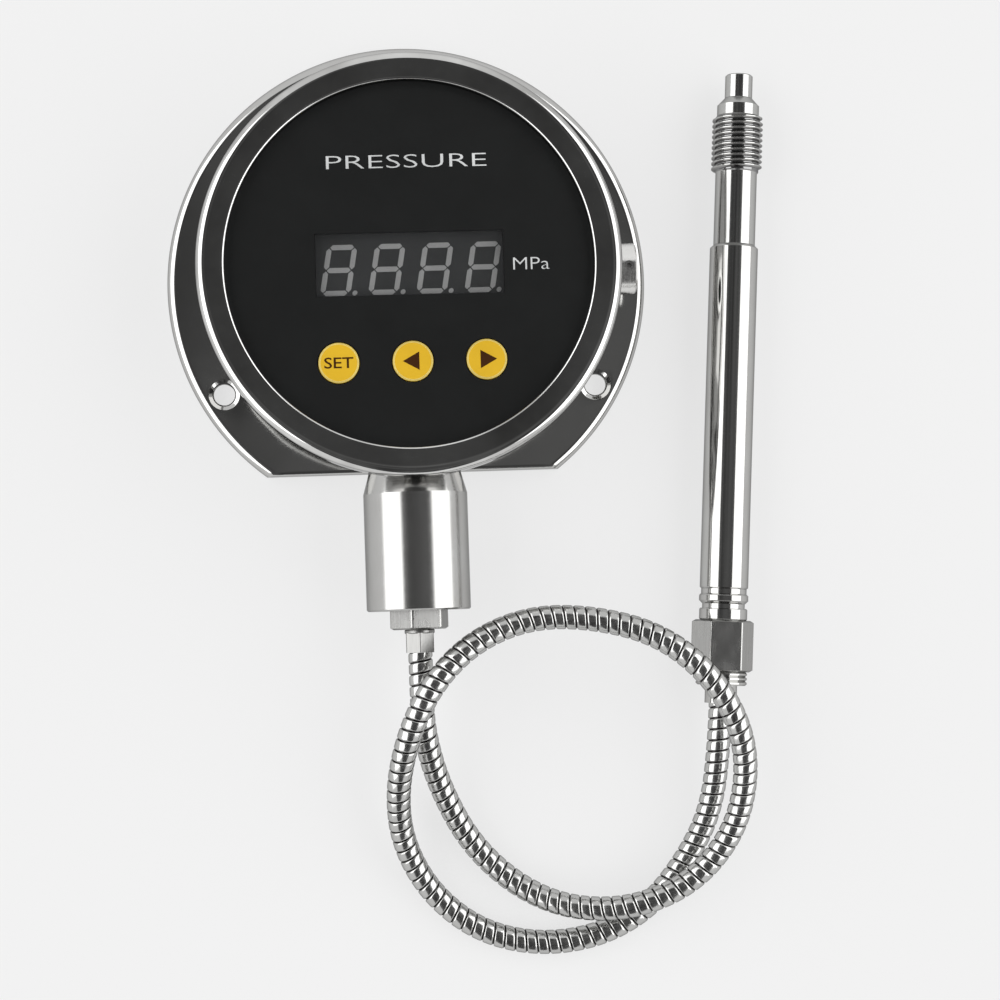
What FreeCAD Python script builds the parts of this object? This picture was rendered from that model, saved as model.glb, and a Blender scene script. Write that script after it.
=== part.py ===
"""Digital pressure transmitter with a flanged round head and a probe on an armoured hose.

Millimetres.  The head lies on its flange with the display facing up (+Z).  The origin is the
centre of the flange's seating plane, +Y points to the top of the display, and the neck leaves
the head along -Y.  The hose and the probe lie on the plane z = 0.
"""
import FreeCAD, Part
import math
import os

V = FreeCAD.Vector
X, Y, Z = V(1, 0, 0), V(0, 1, 0), V(0, 0, 1)
ORIGIN = V(0, 0, 0)

# ---- fits and clearances ------------------------------------------------------------------
SLIP = 0.10          # a piece that is pushed into its seat, per side
EDGE_GAP = 0.30      # a moving piece to its guide, per side
SCREW_GAP = 0.20     # a screw shank to its hole, per side
EPS = 1.0            # how far a cutting tool runs past the face that it opens

# ---- flange -------------------------------------------------------------------------------
FLANGE_R = 66.0
FLANGE_H = 4.2
FLANGE_T = 1.4
FLANGE_RIM_R = 3.6           # shoulder of the turned-down round rim
FLANGE_FLAT_GAP = 1.9        # case wall to the edge that is cut flat under the neck
FLANGE_FLAT_EDGE_R = 1.3     # shoulder along the flat edge
FLANGE_CORNER_R = 4.5
FLANGE_HOLE_PCD = 118.0
FLANGE_HOLES = 3
FLANGE_HOLE_R = 2.9
DIMPLE_R = 4.5               # mouth of the pressed countersink
DIMPLE_DEPTH = 1.7

# ---- case ---------------------------------------------------------------------------------
CASE_R = 50.5
CASE_T = 1.0
CASE_H = 31.0                # back to the top of the mouth lip
CASE_CORNER_R = 2.8
CASE_LIP_W = 3.5             # width of the lip that the bezel is crimped round
CASE_LIP_BEND = 1.0          # slanted step from the wall to the lip

# ---- gasket, panel, window ----------------------------------------------------------------
GASKET_T = 1.4
GASKET_W = 3.6
PANEL_T = 2.0
PANEL_EDGE_GAP = 0.7         # panel to the inside of the bezel
WINDOW_W = 49.2
WINDOW_H = 16.4
WINDOW_BRIM = 1.6
WINDOW_BRIM_T = 0.8
WINDOW_Y = 0.1

# ---- bezel --------------------------------------------------------------------------------
BEZEL_T = 1.2
BEZEL_GAP = 0.55             # inside of the bezel to the case lip
BEZEL_FACE_W = 7.55          # outer edge to the opening
BEZEL_LIP_H = 1.7            # inner lip, from the panel up to its bend
BEZEL_RIM_H = 0.5            # how much higher the face is at its outer edge
BEZEL_EDGE_R = 2.3
BEZEL_LIP_R = 1.1

# ---- keys and switches --------------------------------------------------------------------
KEY_R = 5.3
KEY_PITCH = 19.3
KEY_ROW_Y = -25.6
KEY_PROUD = 0.6              # how far a key stands above the panel
KEY_EDGE = 0.45              # chamfer round a key's top
KEY_BRIM = 0.9
KEY_BRIM_T = 0.9
KEY_TRAVEL = 0.3
KEY_SKIRT_R = 4.2
KEY_SKIRT = 1.4              # skirt under the brim
SWITCH_SIDE = 12.0
SWITCH_H = 3.5
SWITCH_CHAMFER = 1.0
PLUNGER_SIDE = 3.8
PLUNGER_GRIP = 3.0           # how deep the plunger reaches into the key

# ---- display and boards -------------------------------------------------------------------
MODULE_W = 50.3
MODULE_D = 19.0
MODULE_H = 8.0
MODULE_GAP = 0.10            # module face to the window
MODULE_BEVEL = 0.6
PIN_R = 0.3
PIN_HOLE_R = 0.5
PIN_PITCH = 2.54
PIN_COLUMNS = 6
PIN_ROW_GAP = 15.24
PIN_TAIL = 1.2               # pin length under the display board
BOARD_T = 1.6
DISPLAY_BOARD_GAP = 5.5      # inside of the case to the board's edge
MAIN_BOARD_GAP = 7.5
MAIN_BOARD_LIFT = 8.8        # case floor to the main board
POST_INSET = 4.0             # main board's edge to the posts' circle
POST_ANGLE = 35.0            # degrees from the X axis
POST_AF = 5.5
POST_BORE_R = 1.7
SCREW_R = 1.5
SCREW_LENGTH = 7.0
SCREW_HEAD_R = 2.75
SCREW_HEAD_H = 1.8
SCREW_SLOT = 0.8
HEADER_SIZE = (12.7, 5.0)
HEADER_INSET = 12.0          # main board's edge to the header
TERMINAL_SIZE = (8.2, 15.2, 10.0)
TERMINAL_INSET = 9.0         # main board's edge to the terminals
TERMINAL_WAYS = 3
TERMINAL_WIRE_R = 1.5
TERMINAL_SCREW_R = 1.6
CHIP_SIDE = 10.0
CHIP_H = 1.6
CHIP_AT = (-8.0, 4.0)
CAPACITOR_R = 4.0
CAPACITOR_H = 9.0
CAPACITOR_AT = (-22.0, 8.0)

# ---- neck: sensor housing on the case wall ------------------------------------------------
NECK_Z = 17.0
NECK_R = 14.0
NECK_TOP_R = 12.5
NECK_COLLAR_L = 3.2          # case wall to the taper
NECK_TAPER_L = 5.4
NECK_L = 39.9                # case wall to the lower end
NECK_BORE_R = 11.0
NECK_FLOOR = 5.0
NECK_CHAMFER = 0.4
NECK_WIRE_R = 9.0            # opening between neck and case
WELD_GAP = 0.05              # a welded end to the wall it is welded to
CAPSULE_L = 14.0
CAPSULE_CAP_R = 7.0
CAPSULE_CAP_L = 3.0
SEAL_T = 1.0
SEAL_R = 9.0
SEAL_BORE_R = 6.0
RETAINER_L = 3.0
RETAINER_BORE_R = 7.6
PLUG_AF = 14.2
PLUG_L = 5.1
PLUG_CLOCK = -15.0           # degrees that the plug's hexagon is turned
PLUG_SHANK_R = 5.0
PLUG_SHANK_L = 4.0
CAPILLARY_R = 1.6
NECK_FERRULE_R = 4.05
NECK_FERRULE_AF = 7.4
NECK_FERRULE_L = 6.2
NECK_FERRULE_COLLAR = 1.1

# ---- cable outlet -------------------------------------------------------------------------
OUTLET_Z = 20.0
OUTLET_R = 6.9
OUTLET_L = 10.8              # case wall to the open end
OUTLET_CHAMFER = 0.5
OUTLET_SPIGOT_R = 6.0
OUTLET_SPIGOT_L = 1.6        # how far the spigot reaches inside the case
OUTLET_BORE_R = 4.0
BUSH_L = 8.6
BUSH_BORE_R = 2.75
BUSH_INSET = 0.4
SET_SCREW_R = 1.25
SET_SCREW_FROM_END = 2.3
SET_SCREW_L = 2.5
SET_SCREW_SOCKET_AF = 1.3
SET_SCREW_SOCKET_DEPTH = 1.4

# ---- probe --------------------------------------------------------------------------------
PROBE_X = 81.95              # hose end of the ferrule
PROBE_Y = -118.42
PROBE_LEAN = 3.965           # degrees from +Y towards +X
FERRULE_R = 4.4
FERRULE_L = 4.9
ADAPTER_R = 7.0
ADAPTER_L = 3.7
ADAPTER_RINGS = 3
ADAPTER_GROOVE = 0.45
NUT_AF = 15.0
NUT_L = 14.1
NUT_BORE_R = 4.6
COLLAR_R = 6.6
COLLAR_L = 3.2
COLLAR_EDGE = 0.3
GROOVE_R = 5.85
GROOVE_L = 1.2
BEAD_R = 6.75
BEAD_L = 2.8
NECKDOWN_R = 6.25
NECKDOWN_L = 1.3
SPIGOT_R = 4.5
BODY_R = 6.65
BODY_L = 95.1
BODY_BORE_R = 4.0
BODY_CHAMFER = 0.9
SHANK_R = 5.75
SHANK_L = 20.7
SHANK_INSERT = 12.0
THREAD_R = 7.0
THREAD_L = 15.7
THREAD_CHAMFER = 0.9
LAND_R = 5.8
LAND_L = 3.4
CONE_L = 2.0
NOSE_R = 3.8
NOSE_L = 5.9
NOSE_CHAMFER = 0.5
OIL_BORE_R = 0.8
DIAPHRAGM_R = 3.2
DIAPHRAGM_T = 0.3

# ---- hose ---------------------------------------------------------------------------------
HOSE_R = 3.25
HOSE_ARC_SHARE = 0.45
HOSE_START_RUN = 10.0
HOSE_END_RUN = 10.0
HOSE_POINTS = [
    (0.3, -123.2, 14.1),
    (4.2, -138.2, 7.8),
    (12.5, -154.6, 3.6),
    (25.1, -166.6, 4.4),
    (39.2, -172.6, 8.0),
    (55.9, -172.7, 11.5),
    (72.2, -166.2, 12.0),
    (83.4, -153.2, 14.0),
    (87.1, -137.1, 18.2),
    (84.4, -122.4, 22.8),
    (76.0, -109.0, 25.0),
    (63.3, -98.7, 23.6),
    (46.3, -93.8, 21.8),
    (29.7, -93.2, 21.6),
    (14.4, -98.9, 23.0),
    (3.0, -109.6, 24.4),
    (-4.1, -123.5, 22.2),
    (-7.5, -138.9, 14.6),
    (-6.1, -153.5, 7.4),
    (1.2, -167.5, 3.4),
    (13.6, -177.9, 3.3),
    (29.5, -182.4, 3.3),
    (46.2, -180.9, 3.3),
    (60.3, -173.9, 3.3),
    (71.3, -161.4, 3.4),
    (78.8, -147.3, 4.6),
]

# ---- heights and distances that follow ----------------------------------------------------
CASE_BACK = FLANGE_H
CASE_FLOOR = CASE_BACK + CASE_T
CASE_TOP = CASE_BACK + CASE_H
CASE_BORE_R = CASE_R - CASE_T
LIP_R = CASE_R + CASE_LIP_W
BEZEL_BORE_R = LIP_R + BEZEL_GAP
BEZEL_R = BEZEL_BORE_R + BEZEL_T
BEZEL_OPENING_R = BEZEL_R - BEZEL_FACE_W
FLANGE_FLAT_Y = -CASE_R - FLANGE_FLAT_GAP
PANEL_R = BEZEL_BORE_R - PANEL_EDGE_GAP
PANEL_BACK = CASE_TOP + GASKET_T
PANEL_FACE = PANEL_BACK + PANEL_T
MODULE_FACE = PANEL_BACK - MODULE_GAP
DISPLAY_BOARD_TOP = MODULE_FACE - MODULE_H
MAIN_BOARD_BOTTOM = CASE_FLOOR + MAIN_BOARD_LIFT
MAIN_BOARD_TOP = MAIN_BOARD_BOTTOM + BOARD_T
DISPLAY_BOARD_BOTTOM = DISPLAY_BOARD_TOP - BOARD_T
KEY_BRIM_TOP = PANEL_BACK - EDGE_GAP
DISPLAY_BOARD_R = CASE_BORE_R - DISPLAY_BOARD_GAP
MAIN_BOARD_R = CASE_BORE_R - MAIN_BOARD_GAP
HEADER_Y = MAIN_BOARD_R - HEADER_INSET
TERMINAL_X = MAIN_BOARD_R - TERMINAL_INSET
NECK_TAPER_FROM = CASE_R + NECK_COLLAR_L
NECK_TAPER_TO = NECK_TAPER_FROM + NECK_TAPER_L
NECK_END = CASE_R + NECK_L
OUTLET_END = CASE_R + OUTLET_L
PLUG_END = NECK_END + PLUG_L
NECK_FERRULE_END = PLUG_END + NECK_FERRULE_L
PROBE_Z = NUT_AF / 2
PROBE_AT = V(PROBE_X, PROBE_Y, PROBE_Z)
POST_CIRCLE_R = MAIN_BOARD_R - POST_INSET
POST_X = POST_CIRCLE_R * math.cos(math.radians(POST_ANGLE))
POST_Y = POST_CIRCLE_R * math.sin(math.radians(POST_ANGLE))
POSTS = [(sx * POST_X, sy * POST_Y) for sx in (-1, 1) for sy in (-1, 1)]
KEYS = {"set": -KEY_PITCH, "left": 0.0, "right": KEY_PITCH}


# ---- shape helpers ------------------------------------------------------------------------
def rounded_wire(corners, closed=True):
    """Join corners (point, radius) by straight edges with a tangent arc at each radius."""
    count = len(corners)
    ends = []
    for i, (point, radius) in enumerate(corners):
        if radius <= 0 or (not closed and i in (0, count - 1)):
            ends.append((point, None, point))
            continue
        into = (point - corners[i - 1][0]).normalize()
        out = (corners[(i + 1) % count][0] - point).normalize()
        half = into.getAngle(out) / 2
        inward = (out - into).normalize()
        reach = radius * math.tan(half)
        middle = point + inward * (radius / math.cos(half) - radius)
        ends.append((point - into * reach, middle, point + out * reach))
    edges = []
    for i, (start, middle, end) in enumerate(ends):
        if middle is not None:
            edges.append(Part.Arc(start, middle, end).toShape())
        if i < count - 1 or closed:
            after = ends[(i + 1) % count][0]
            if (after - end).Length > 1e-6:
                edges.append(Part.LineSegment(end, after).toShape())
    return Part.Wire(edges)


def turned(corners):
    """Revolve a profile of (radius, height[, corner radius]) about Z."""
    wire = rounded_wire([(V(c[0], 0, c[1]), c[2] if len(c) > 2 else 0) for c in corners])
    return Part.Face(wire).revolve(ORIGIN, Z, 360)


def ring(outer, inner, low, high):
    """A plain ring about Z."""
    return turned([(inner, low), (outer, low), (outer, high), (inner, high)])


def rod(radius, low, high, at=(0, 0)):
    """A cylinder along Z, whose axis passes through at."""
    return Part.makeCylinder(radius, high - low, V(at[0], at[1], low))


def block(width, depth, low, high, at=(0, 0)):
    """A box along Z, centred on at."""
    return Part.makeBox(width, depth, high - low, V(at[0] - width / 2, at[1] - depth / 2, low))


def hexagon(across_flats, low, high, at=(0, 0), clock=0.0):
    """A hexagonal prism along Z with two flats square to Y, turned by clock degrees."""
    corner = across_flats / math.sqrt(3)
    points = []
    for i in range(7):
        angle = math.radians(60 * i + clock)
        points.append(V(at[0] + corner * math.cos(angle), at[1] + corner * math.sin(angle), low))
    return Part.Face(Part.makePolygon(points)).extrude(V(0, 0, high - low))


def chamfered_hexagon(across_flats, low, high, clock=0.0, ends=(True, True)):
    """A hexagonal prism whose corners are turned off at 30 degrees."""
    corner = across_flats / math.sqrt(3)
    flat = across_flats / 2
    drop = (corner - flat) * math.tan(math.radians(30))
    bottom = [(flat, low), (corner, low + drop)] if ends[0] else [(corner, low)]
    top = [(corner, high - drop), (flat, high)] if ends[1] else [(corner, high)]
    return hexagon(across_flats, low, high, clock=clock).common(
        turned([(0, low)] + bottom + top + [(0, high)]))


def to_neck(shape):
    """Lay a piece, made along Z by its distance from the head's axis, along the neck."""
    shape = shape.copy()
    shape.rotate(ORIGIN, X, 90)
    shape.translate(V(0, 0, NECK_Z))
    return shape


def to_outlet(shape):
    """Lay a piece, made along Z by its distance from the head's axis, along the cable outlet."""
    shape = shape.copy()
    shape.rotate(ORIGIN, Y, 90)
    shape.translate(V(0, 0, OUTLET_Z))
    return shape


def probe_direction():
    """The unit vector from the hose end of the probe to its nose."""
    lean = math.radians(PROBE_LEAN)
    return V(math.sin(lean), math.cos(lean), 0)


def to_probe(shape):
    """Lay a piece, made along Z from the hose end of the probe, along the probe."""
    shape = shape.copy()
    shape.rotate(ORIGIN, X, -90)
    shape.rotate(ORIGIN, Z, -PROBE_LEAN)
    shape.translate(PROBE_AT)
    return shape


# ---- head ---------------------------------------------------------------------------------
def flange_blank(inset):
    """The dished outline of the flange, drawn in by inset on every side but the seat."""
    top = FLANGE_H - inset
    radius = FLANGE_R - inset
    round_r = FLANGE_RIM_R - inset
    shoulder = [(radius, top, round_r)] if inset == 0 else [
        (radius, top - round_r), (radius - round_r, top)]
    dish = turned([(0, 0), (radius, 0)] + shoulder + [(0, top)])
    flat = FLANGE_FLAT_Y + inset
    half = math.sqrt(radius ** 2 - flat ** 2)
    corner = max(FLANGE_CORNER_R - inset, 0)
    wide = radius + EPS
    plan = rounded_wire([
        (V(-half, flat, 0), corner), (V(half, flat, 0), corner),
        (V(wide, flat + (wide - half) * half / -flat, 0), 0), (V(wide, wide, 0), 0),
        (V(-wide, wide, 0), 0), (V(-wide, flat + (wide - half) * half / -flat, 0), 0)])
    prism = Part.Face(plan).extrude(V(0, 0, top))
    edge_r = FLANGE_FLAT_EDGE_R - inset
    if edge_r > 0:
        low_edges = [e for e in prism.Edges
                     if e.BoundBox.ZMin > top - 1e-6 and e.BoundBox.YMin < flat + corner
                     and e.BoundBox.XLength < 2 * half and e.BoundBox.YMax < 0]
        prism = prism.makeFillet(edge_r, low_edges)
    return dish.common(prism)


def rear_flange():
    """Stamped mounting flange: turned-down rim, flat lower edge, three pressed countersinks."""
    plate = flange_blank(0).cut(flange_blank(FLANGE_T))
    skin = FLANGE_T / math.cos(math.atan2(DIMPLE_R - FLANGE_HOLE_R, DIMPLE_DEPTH))
    bottom = FLANGE_H - DIMPLE_DEPTH
    for i in range(FLANGE_HOLES):
        angle = math.radians(90 + 360 / FLANGE_HOLES * i)
        at = V(FLANGE_HOLE_PCD / 2 * math.cos(angle), FLANGE_HOLE_PCD / 2 * math.sin(angle), 0)
        low = bottom - FLANGE_T / 2
        boss = Part.makeCone(FLANGE_HOLE_R + skin / 2, DIMPLE_R + skin / 2,
                             FLANGE_H - FLANGE_T / 2 - low, at + V(0, 0, low))
        plate = plate.fuse(boss)
        cone = Part.makeCone(FLANGE_HOLE_R, DIMPLE_R, DIMPLE_DEPTH, at + V(0, 0, bottom))
        plate = plate.cut(cone)
        plate = plate.cut(Part.makeCylinder(FLANGE_HOLE_R, FLANGE_H, at))
    return plate.removeSplitter()


def case_pan():
    """Drawn case: floor, wall and mouth lip in one sheet, open to the neck and the outlet."""
    inner = CASE_BORE_R
    bend = CASE_LIP_BEND
    corner = CASE_CORNER_R - CASE_T
    pan = turned([
        (0, CASE_BACK), (CASE_R, CASE_BACK, CASE_CORNER_R),
        (CASE_R, CASE_TOP - CASE_T - bend), (CASE_R + bend, CASE_TOP - CASE_T),
        (LIP_R, CASE_TOP - CASE_T), (LIP_R, CASE_TOP),
        (inner + CASE_T + bend, CASE_TOP), (inner, CASE_TOP - CASE_T - bend),
        (inner, CASE_FLOOR + corner), (inner - corner, CASE_FLOOR), (0, CASE_FLOOR)])
    wires = to_neck(rod(NECK_WIRE_R, inner - EPS - CASE_T * 2, CASE_R + EPS))
    cable = to_outlet(rod(OUTLET_SPIGOT_R + SLIP, inner - EPS, CASE_R + EPS))
    return pan.cut(wires).cut(cable)


def bezel_ring():
    """Spun bezel: sloping face, inner lip down to the panel, lower edge crimped under the case."""
    lip_low = PANEL_FACE
    face = lip_low + BEZEL_LIP_H + BEZEL_LIP_R
    rim = face + BEZEL_RIM_H
    crimp = CASE_TOP - CASE_T
    crimp_r = CASE_R + CASE_LIP_BEND + EDGE_GAP
    lip_r = BEZEL_OPENING_R + BEZEL_T
    return turned([
        (crimp_r, crimp - BEZEL_T), (BEZEL_BORE_R, crimp - BEZEL_T), (BEZEL_R, crimp),
        (BEZEL_R, rim, BEZEL_EDGE_R), (BEZEL_OPENING_R, face, BEZEL_LIP_R),
        (BEZEL_OPENING_R, lip_low), (lip_r, lip_low), (lip_r, face - BEZEL_T),
        (BEZEL_BORE_R, rim - BEZEL_T), (BEZEL_BORE_R, crimp), (crimp_r, crimp)])


def bezel_gasket():
    """Flat rubber ring between the case lip and the panel."""
    return ring(PANEL_R, PANEL_R - GASKET_W, CASE_TOP, PANEL_BACK)


def face_panel():
    """Front panel with a rebated window and three key holes."""
    panel = rod(PANEL_R, PANEL_BACK, PANEL_FACE)
    brim = WINDOW_BRIM + SLIP
    panel = panel.cut(block(WINDOW_W + 2 * SLIP, WINDOW_H + 2 * SLIP, PANEL_BACK - EPS,
                            PANEL_FACE + EPS, (0, WINDOW_Y)))
    panel = panel.cut(block(WINDOW_W + 2 * brim, WINDOW_H + 2 * brim, PANEL_BACK - EPS,
                            PANEL_BACK + WINDOW_BRIM_T, (0, WINDOW_Y)))
    for x in KEYS.values():
        panel = panel.cut(rod(KEY_R + EDGE_GAP, PANEL_BACK - EPS, PANEL_FACE + EPS,
                              (x, KEY_ROW_Y)))
    return panel


def display_window():
    """Clear pane, flush with the panel, held by a brim in the panel's rebate."""
    pane = block(WINDOW_W, WINDOW_H, PANEL_BACK + WINDOW_BRIM_T, PANEL_FACE, (0, WINDOW_Y))
    brim = block(WINDOW_W + 2 * WINDOW_BRIM, WINDOW_H + 2 * WINDOW_BRIM, PANEL_BACK,
                 PANEL_BACK + WINDOW_BRIM_T, (0, WINDOW_Y))
    return pane.fuse(brim).removeSplitter()


def key_cap(x):
    """Round push key: rounded cap, brim under the panel, skirt with a socket for the plunger."""
    top = PANEL_FACE + KEY_PROUD
    brim_low = KEY_BRIM_TOP - KEY_BRIM_T
    low = brim_low - KEY_SKIRT
    cap = turned([
        (0, low), (KEY_SKIRT_R, low), (KEY_SKIRT_R, brim_low), (KEY_R + KEY_BRIM, brim_low),
        (KEY_R + KEY_BRIM, KEY_BRIM_TOP), (KEY_R, KEY_BRIM_TOP), (KEY_R, top - KEY_EDGE),
        (KEY_R - KEY_EDGE, top), (0, top)])
    cap.translate(V(x, KEY_ROW_Y, 0))
    return cap.cut(block(PLUNGER_SIDE, PLUNGER_SIDE, low - EPS, low + PLUNGER_GRIP,
                         (x, KEY_ROW_Y)))


def plunger_top():
    """Height of a plunger's top, at the end of its socket in the key."""
    return KEY_BRIM_TOP - KEY_BRIM_T - KEY_SKIRT + PLUNGER_GRIP


def plunger(x):
    """Square plunger of a tactile switch, from the key's socket down into the housing."""
    low = DISPLAY_BOARD_TOP + SWITCH_H / 2
    return block(PLUNGER_SIDE, PLUNGER_SIDE, low, plunger_top(), (x, KEY_ROW_Y))


def switch_housings():
    """Three switch housings on the display board, each with a pocket for its plunger."""
    housings = []
    pocket = PLUNGER_SIDE + 2 * EDGE_GAP
    floor = DISPLAY_BOARD_TOP + SWITCH_H / 2 - KEY_TRAVEL - SLIP
    for x in KEYS.values():
        body = block(SWITCH_SIDE, SWITCH_SIDE, DISPLAY_BOARD_TOP, DISPLAY_BOARD_TOP + SWITCH_H,
                     (x, KEY_ROW_Y))
        upright = [e for e in body.Edges if e.BoundBox.ZLength > SWITCH_H / 2]
        body = body.makeChamfer(SWITCH_CHAMFER, upright)
        housings.append(body.cut(block(pocket, pocket, floor, DISPLAY_BOARD_TOP + SWITCH_H + EPS,
                                       (x, KEY_ROW_Y))))
    return Part.makeCompound(housings)


def module_pins():
    """Where the display's pins pass through its board."""
    return [((i - (PIN_COLUMNS - 1) / 2) * PIN_PITCH, WINDOW_Y + side * PIN_ROW_GAP / 2)
            for i in range(PIN_COLUMNS) for side in (-1, 1)]


def display_module():
    """Four-digit display: a moulded block whose upper edges are bevelled."""
    body = block(MODULE_W, MODULE_D, DISPLAY_BOARD_TOP, MODULE_FACE, (0, WINDOW_Y))
    upper = [e for e in body.Edges if e.BoundBox.ZMin > MODULE_FACE - 1e-6]
    return body.makeChamfer(MODULE_BEVEL, upper)


def display_pins():
    """The display's pins, through the board's holes."""
    low = DISPLAY_BOARD_BOTTOM - PIN_TAIL
    return Part.makeCompound([rod(PIN_R, low, DISPLAY_BOARD_TOP, at) for at in module_pins()])


def board(radius, low, holes):
    """A round circuit board with holes (radius, place)."""
    disc = rod(radius, low, low + BOARD_T)
    for hole_r, at in holes:
        disc = disc.cut(rod(hole_r, low - EPS, low + BOARD_T + EPS, at))
    return disc


def display_board():
    """Board that carries the display and the switches."""
    holes = [(SCREW_R + SCREW_GAP, at) for at in POSTS]
    holes += [(PIN_HOLE_R, at) for at in module_pins()]
    return board(DISPLAY_BOARD_R, DISPLAY_BOARD_BOTTOM, holes)


def main_board():
    """Board of the transmitter circuit, clamped between the lower and the upper posts."""
    return board(MAIN_BOARD_R, MAIN_BOARD_BOTTOM, [(POST_BORE_R, at) for at in POSTS])


def posts(low, high):
    """Four hexagonal posts with through bores."""
    shapes = []
    for at in POSTS:
        post = hexagon(POST_AF, low, high, at)
        shapes.append(post.cut(rod(POST_BORE_R, low - EPS, high + EPS, at)))
    return Part.makeCompound(shapes)


def board_screws():
    """Four slotted pan-head screws through the display board into the upper posts."""
    shapes = []
    for at in POSTS:
        head = turned([(0, 0), (SCREW_HEAD_R, 0), (SCREW_HEAD_R, SCREW_HEAD_H / 2),
                       (SCREW_HEAD_R - SCREW_HEAD_H / 2, SCREW_HEAD_H), (0, SCREW_HEAD_H)])
        screw = head.fuse(rod(SCREW_R, -SCREW_LENGTH, 0))
        screw = screw.cut(block(3 * SCREW_HEAD_R, SCREW_SLOT, SCREW_HEAD_H / 2,
                                SCREW_HEAD_H + EPS))
        screw.translate(V(at[0], at[1], DISPLAY_BOARD_TOP))
        shapes.append(screw)
    return Part.makeCompound(shapes)


def board_header():
    """Connector block between the two boards."""
    return block(HEADER_SIZE[0], HEADER_SIZE[1], MAIN_BOARD_TOP, DISPLAY_BOARD_BOTTOM,
                 (0, HEADER_Y))


def terminal_ways():
    """The middle of each way of the terminal block, along Y."""
    pitch = TERMINAL_SIZE[1] / TERMINAL_WAYS
    return [(i - (TERMINAL_WAYS - 1) / 2) * pitch for i in range(TERMINAL_WAYS)]


def terminal_block():
    """Screw terminals for the cable, open towards the cable outlet and upwards."""
    width, depth, height = TERMINAL_SIZE
    body = block(width, depth, MAIN_BOARD_TOP, MAIN_BOARD_TOP + height, (TERMINAL_X, 0))
    for y in terminal_ways():
        wire = Part.makeCylinder(TERMINAL_WIRE_R, width, V(TERMINAL_X, y, MAIN_BOARD_TOP
                                                          + height / 3), X)
        well = rod(TERMINAL_SCREW_R + SLIP, MAIN_BOARD_TOP + height / 2,
                   MAIN_BOARD_TOP + height + EPS, (TERMINAL_X, y))
        body = body.cut(wire).cut(well)
    return body


def terminal_screws():
    """The terminals' clamping screws."""
    low = MAIN_BOARD_TOP + TERMINAL_SIZE[2] / 2
    high = MAIN_BOARD_TOP + TERMINAL_SIZE[2] - SCREW_SLOT
    shapes = []
    for y in terminal_ways():
        screw = rod(TERMINAL_SCREW_R, low, high, (TERMINAL_X, y))
        shapes.append(screw.cut(block(SCREW_SLOT, 3 * TERMINAL_SCREW_R, high - SCREW_SLOT,
                                      high + EPS, (TERMINAL_X, y))))
    return Part.makeCompound(shapes)


def processor_chip():
    """Square chip package on the main board."""
    body = block(CHIP_SIDE, CHIP_SIDE, MAIN_BOARD_TOP, MAIN_BOARD_TOP + CHIP_H, CHIP_AT)
    return body.makeChamfer(CHIP_H / 4, [e for e in body.Edges
                                         if e.BoundBox.ZMin > MAIN_BOARD_TOP + CHIP_H / 2])


def supply_capacitor():
    """Upright round capacitor on the main board."""
    top = MAIN_BOARD_TOP + CAPACITOR_H
    edge = CAPACITOR_R / 8
    body = turned([(0, MAIN_BOARD_TOP), (CAPACITOR_R, MAIN_BOARD_TOP), (CAPACITOR_R, top - edge),
                   (CAPACITOR_R - edge, top), (0, top)])
    body.translate(V(CAPACITOR_AT[0], CAPACITOR_AT[1], 0))
    return body


# ---- neck ---------------------------------------------------------------------------------
def neck_housing():
    """Turned sensor housing: tapered end welded to the case, deep bore, threaded floor."""
    start = CASE_R - NECK_TOP_R
    floor = NECK_END - NECK_FLOOR
    body = turned([
        (0, start), (NECK_TOP_R, start), (NECK_TOP_R, NECK_TAPER_FROM), (NECK_R, NECK_TAPER_TO),
        (NECK_R, NECK_END - NECK_CHAMFER), (NECK_R - NECK_CHAMFER, NECK_END), (0, NECK_END)])
    body = body.cut(rod(NECK_BORE_R, start - EPS, floor))
    body = body.cut(rod(PLUG_SHANK_R + SLIP, floor - EPS, NECK_END + EPS))
    return to_neck(body).cut(rod(CASE_R + WELD_GAP, 0, CASE_TOP + NECK_R))


def capsule_start():
    """Distance of the sensor capsule's seat step from the head's axis."""
    return NECK_END - NECK_FLOOR - SEAL_T - CAPSULE_L


def sensor_capsule():
    """Pressure sensing capsule: a drum with a narrower header at its inner end."""
    start = capsule_start()
    return to_neck(turned([
        (0, start - CAPSULE_CAP_L), (CAPSULE_CAP_R, start - CAPSULE_CAP_L),
        (CAPSULE_CAP_R, start), (NECK_BORE_R - SLIP, start),
        (NECK_BORE_R - SLIP, start + CAPSULE_L), (0, start + CAPSULE_L)]))


def capsule_seal():
    """Flat seal between the capsule and the housing's floor."""
    floor = NECK_END - NECK_FLOOR
    return to_neck(ring(SEAL_R, SEAL_BORE_R, floor - SEAL_T, floor))


def capsule_retainer():
    """Ring that holds the capsule on its seal."""
    start = capsule_start()
    return to_neck(ring(NECK_BORE_R - SLIP, RETAINER_BORE_R, start - RETAINER_L, start))


def neck_plug():
    """Hexagonal plug with a shank in the housing's floor and a bore for the capillary."""
    head = chamfered_hexagon(PLUG_AF, NECK_END, PLUG_END, PLUG_CLOCK, (False, True))
    shank = rod(PLUG_SHANK_R, NECK_END - PLUG_SHANK_L, NECK_END)
    plug = head.fuse(shank)
    return to_neck(plug.cut(rod(CAPILLARY_R, NECK_END - PLUG_SHANK_L - EPS, PLUG_END + EPS)))


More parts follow.
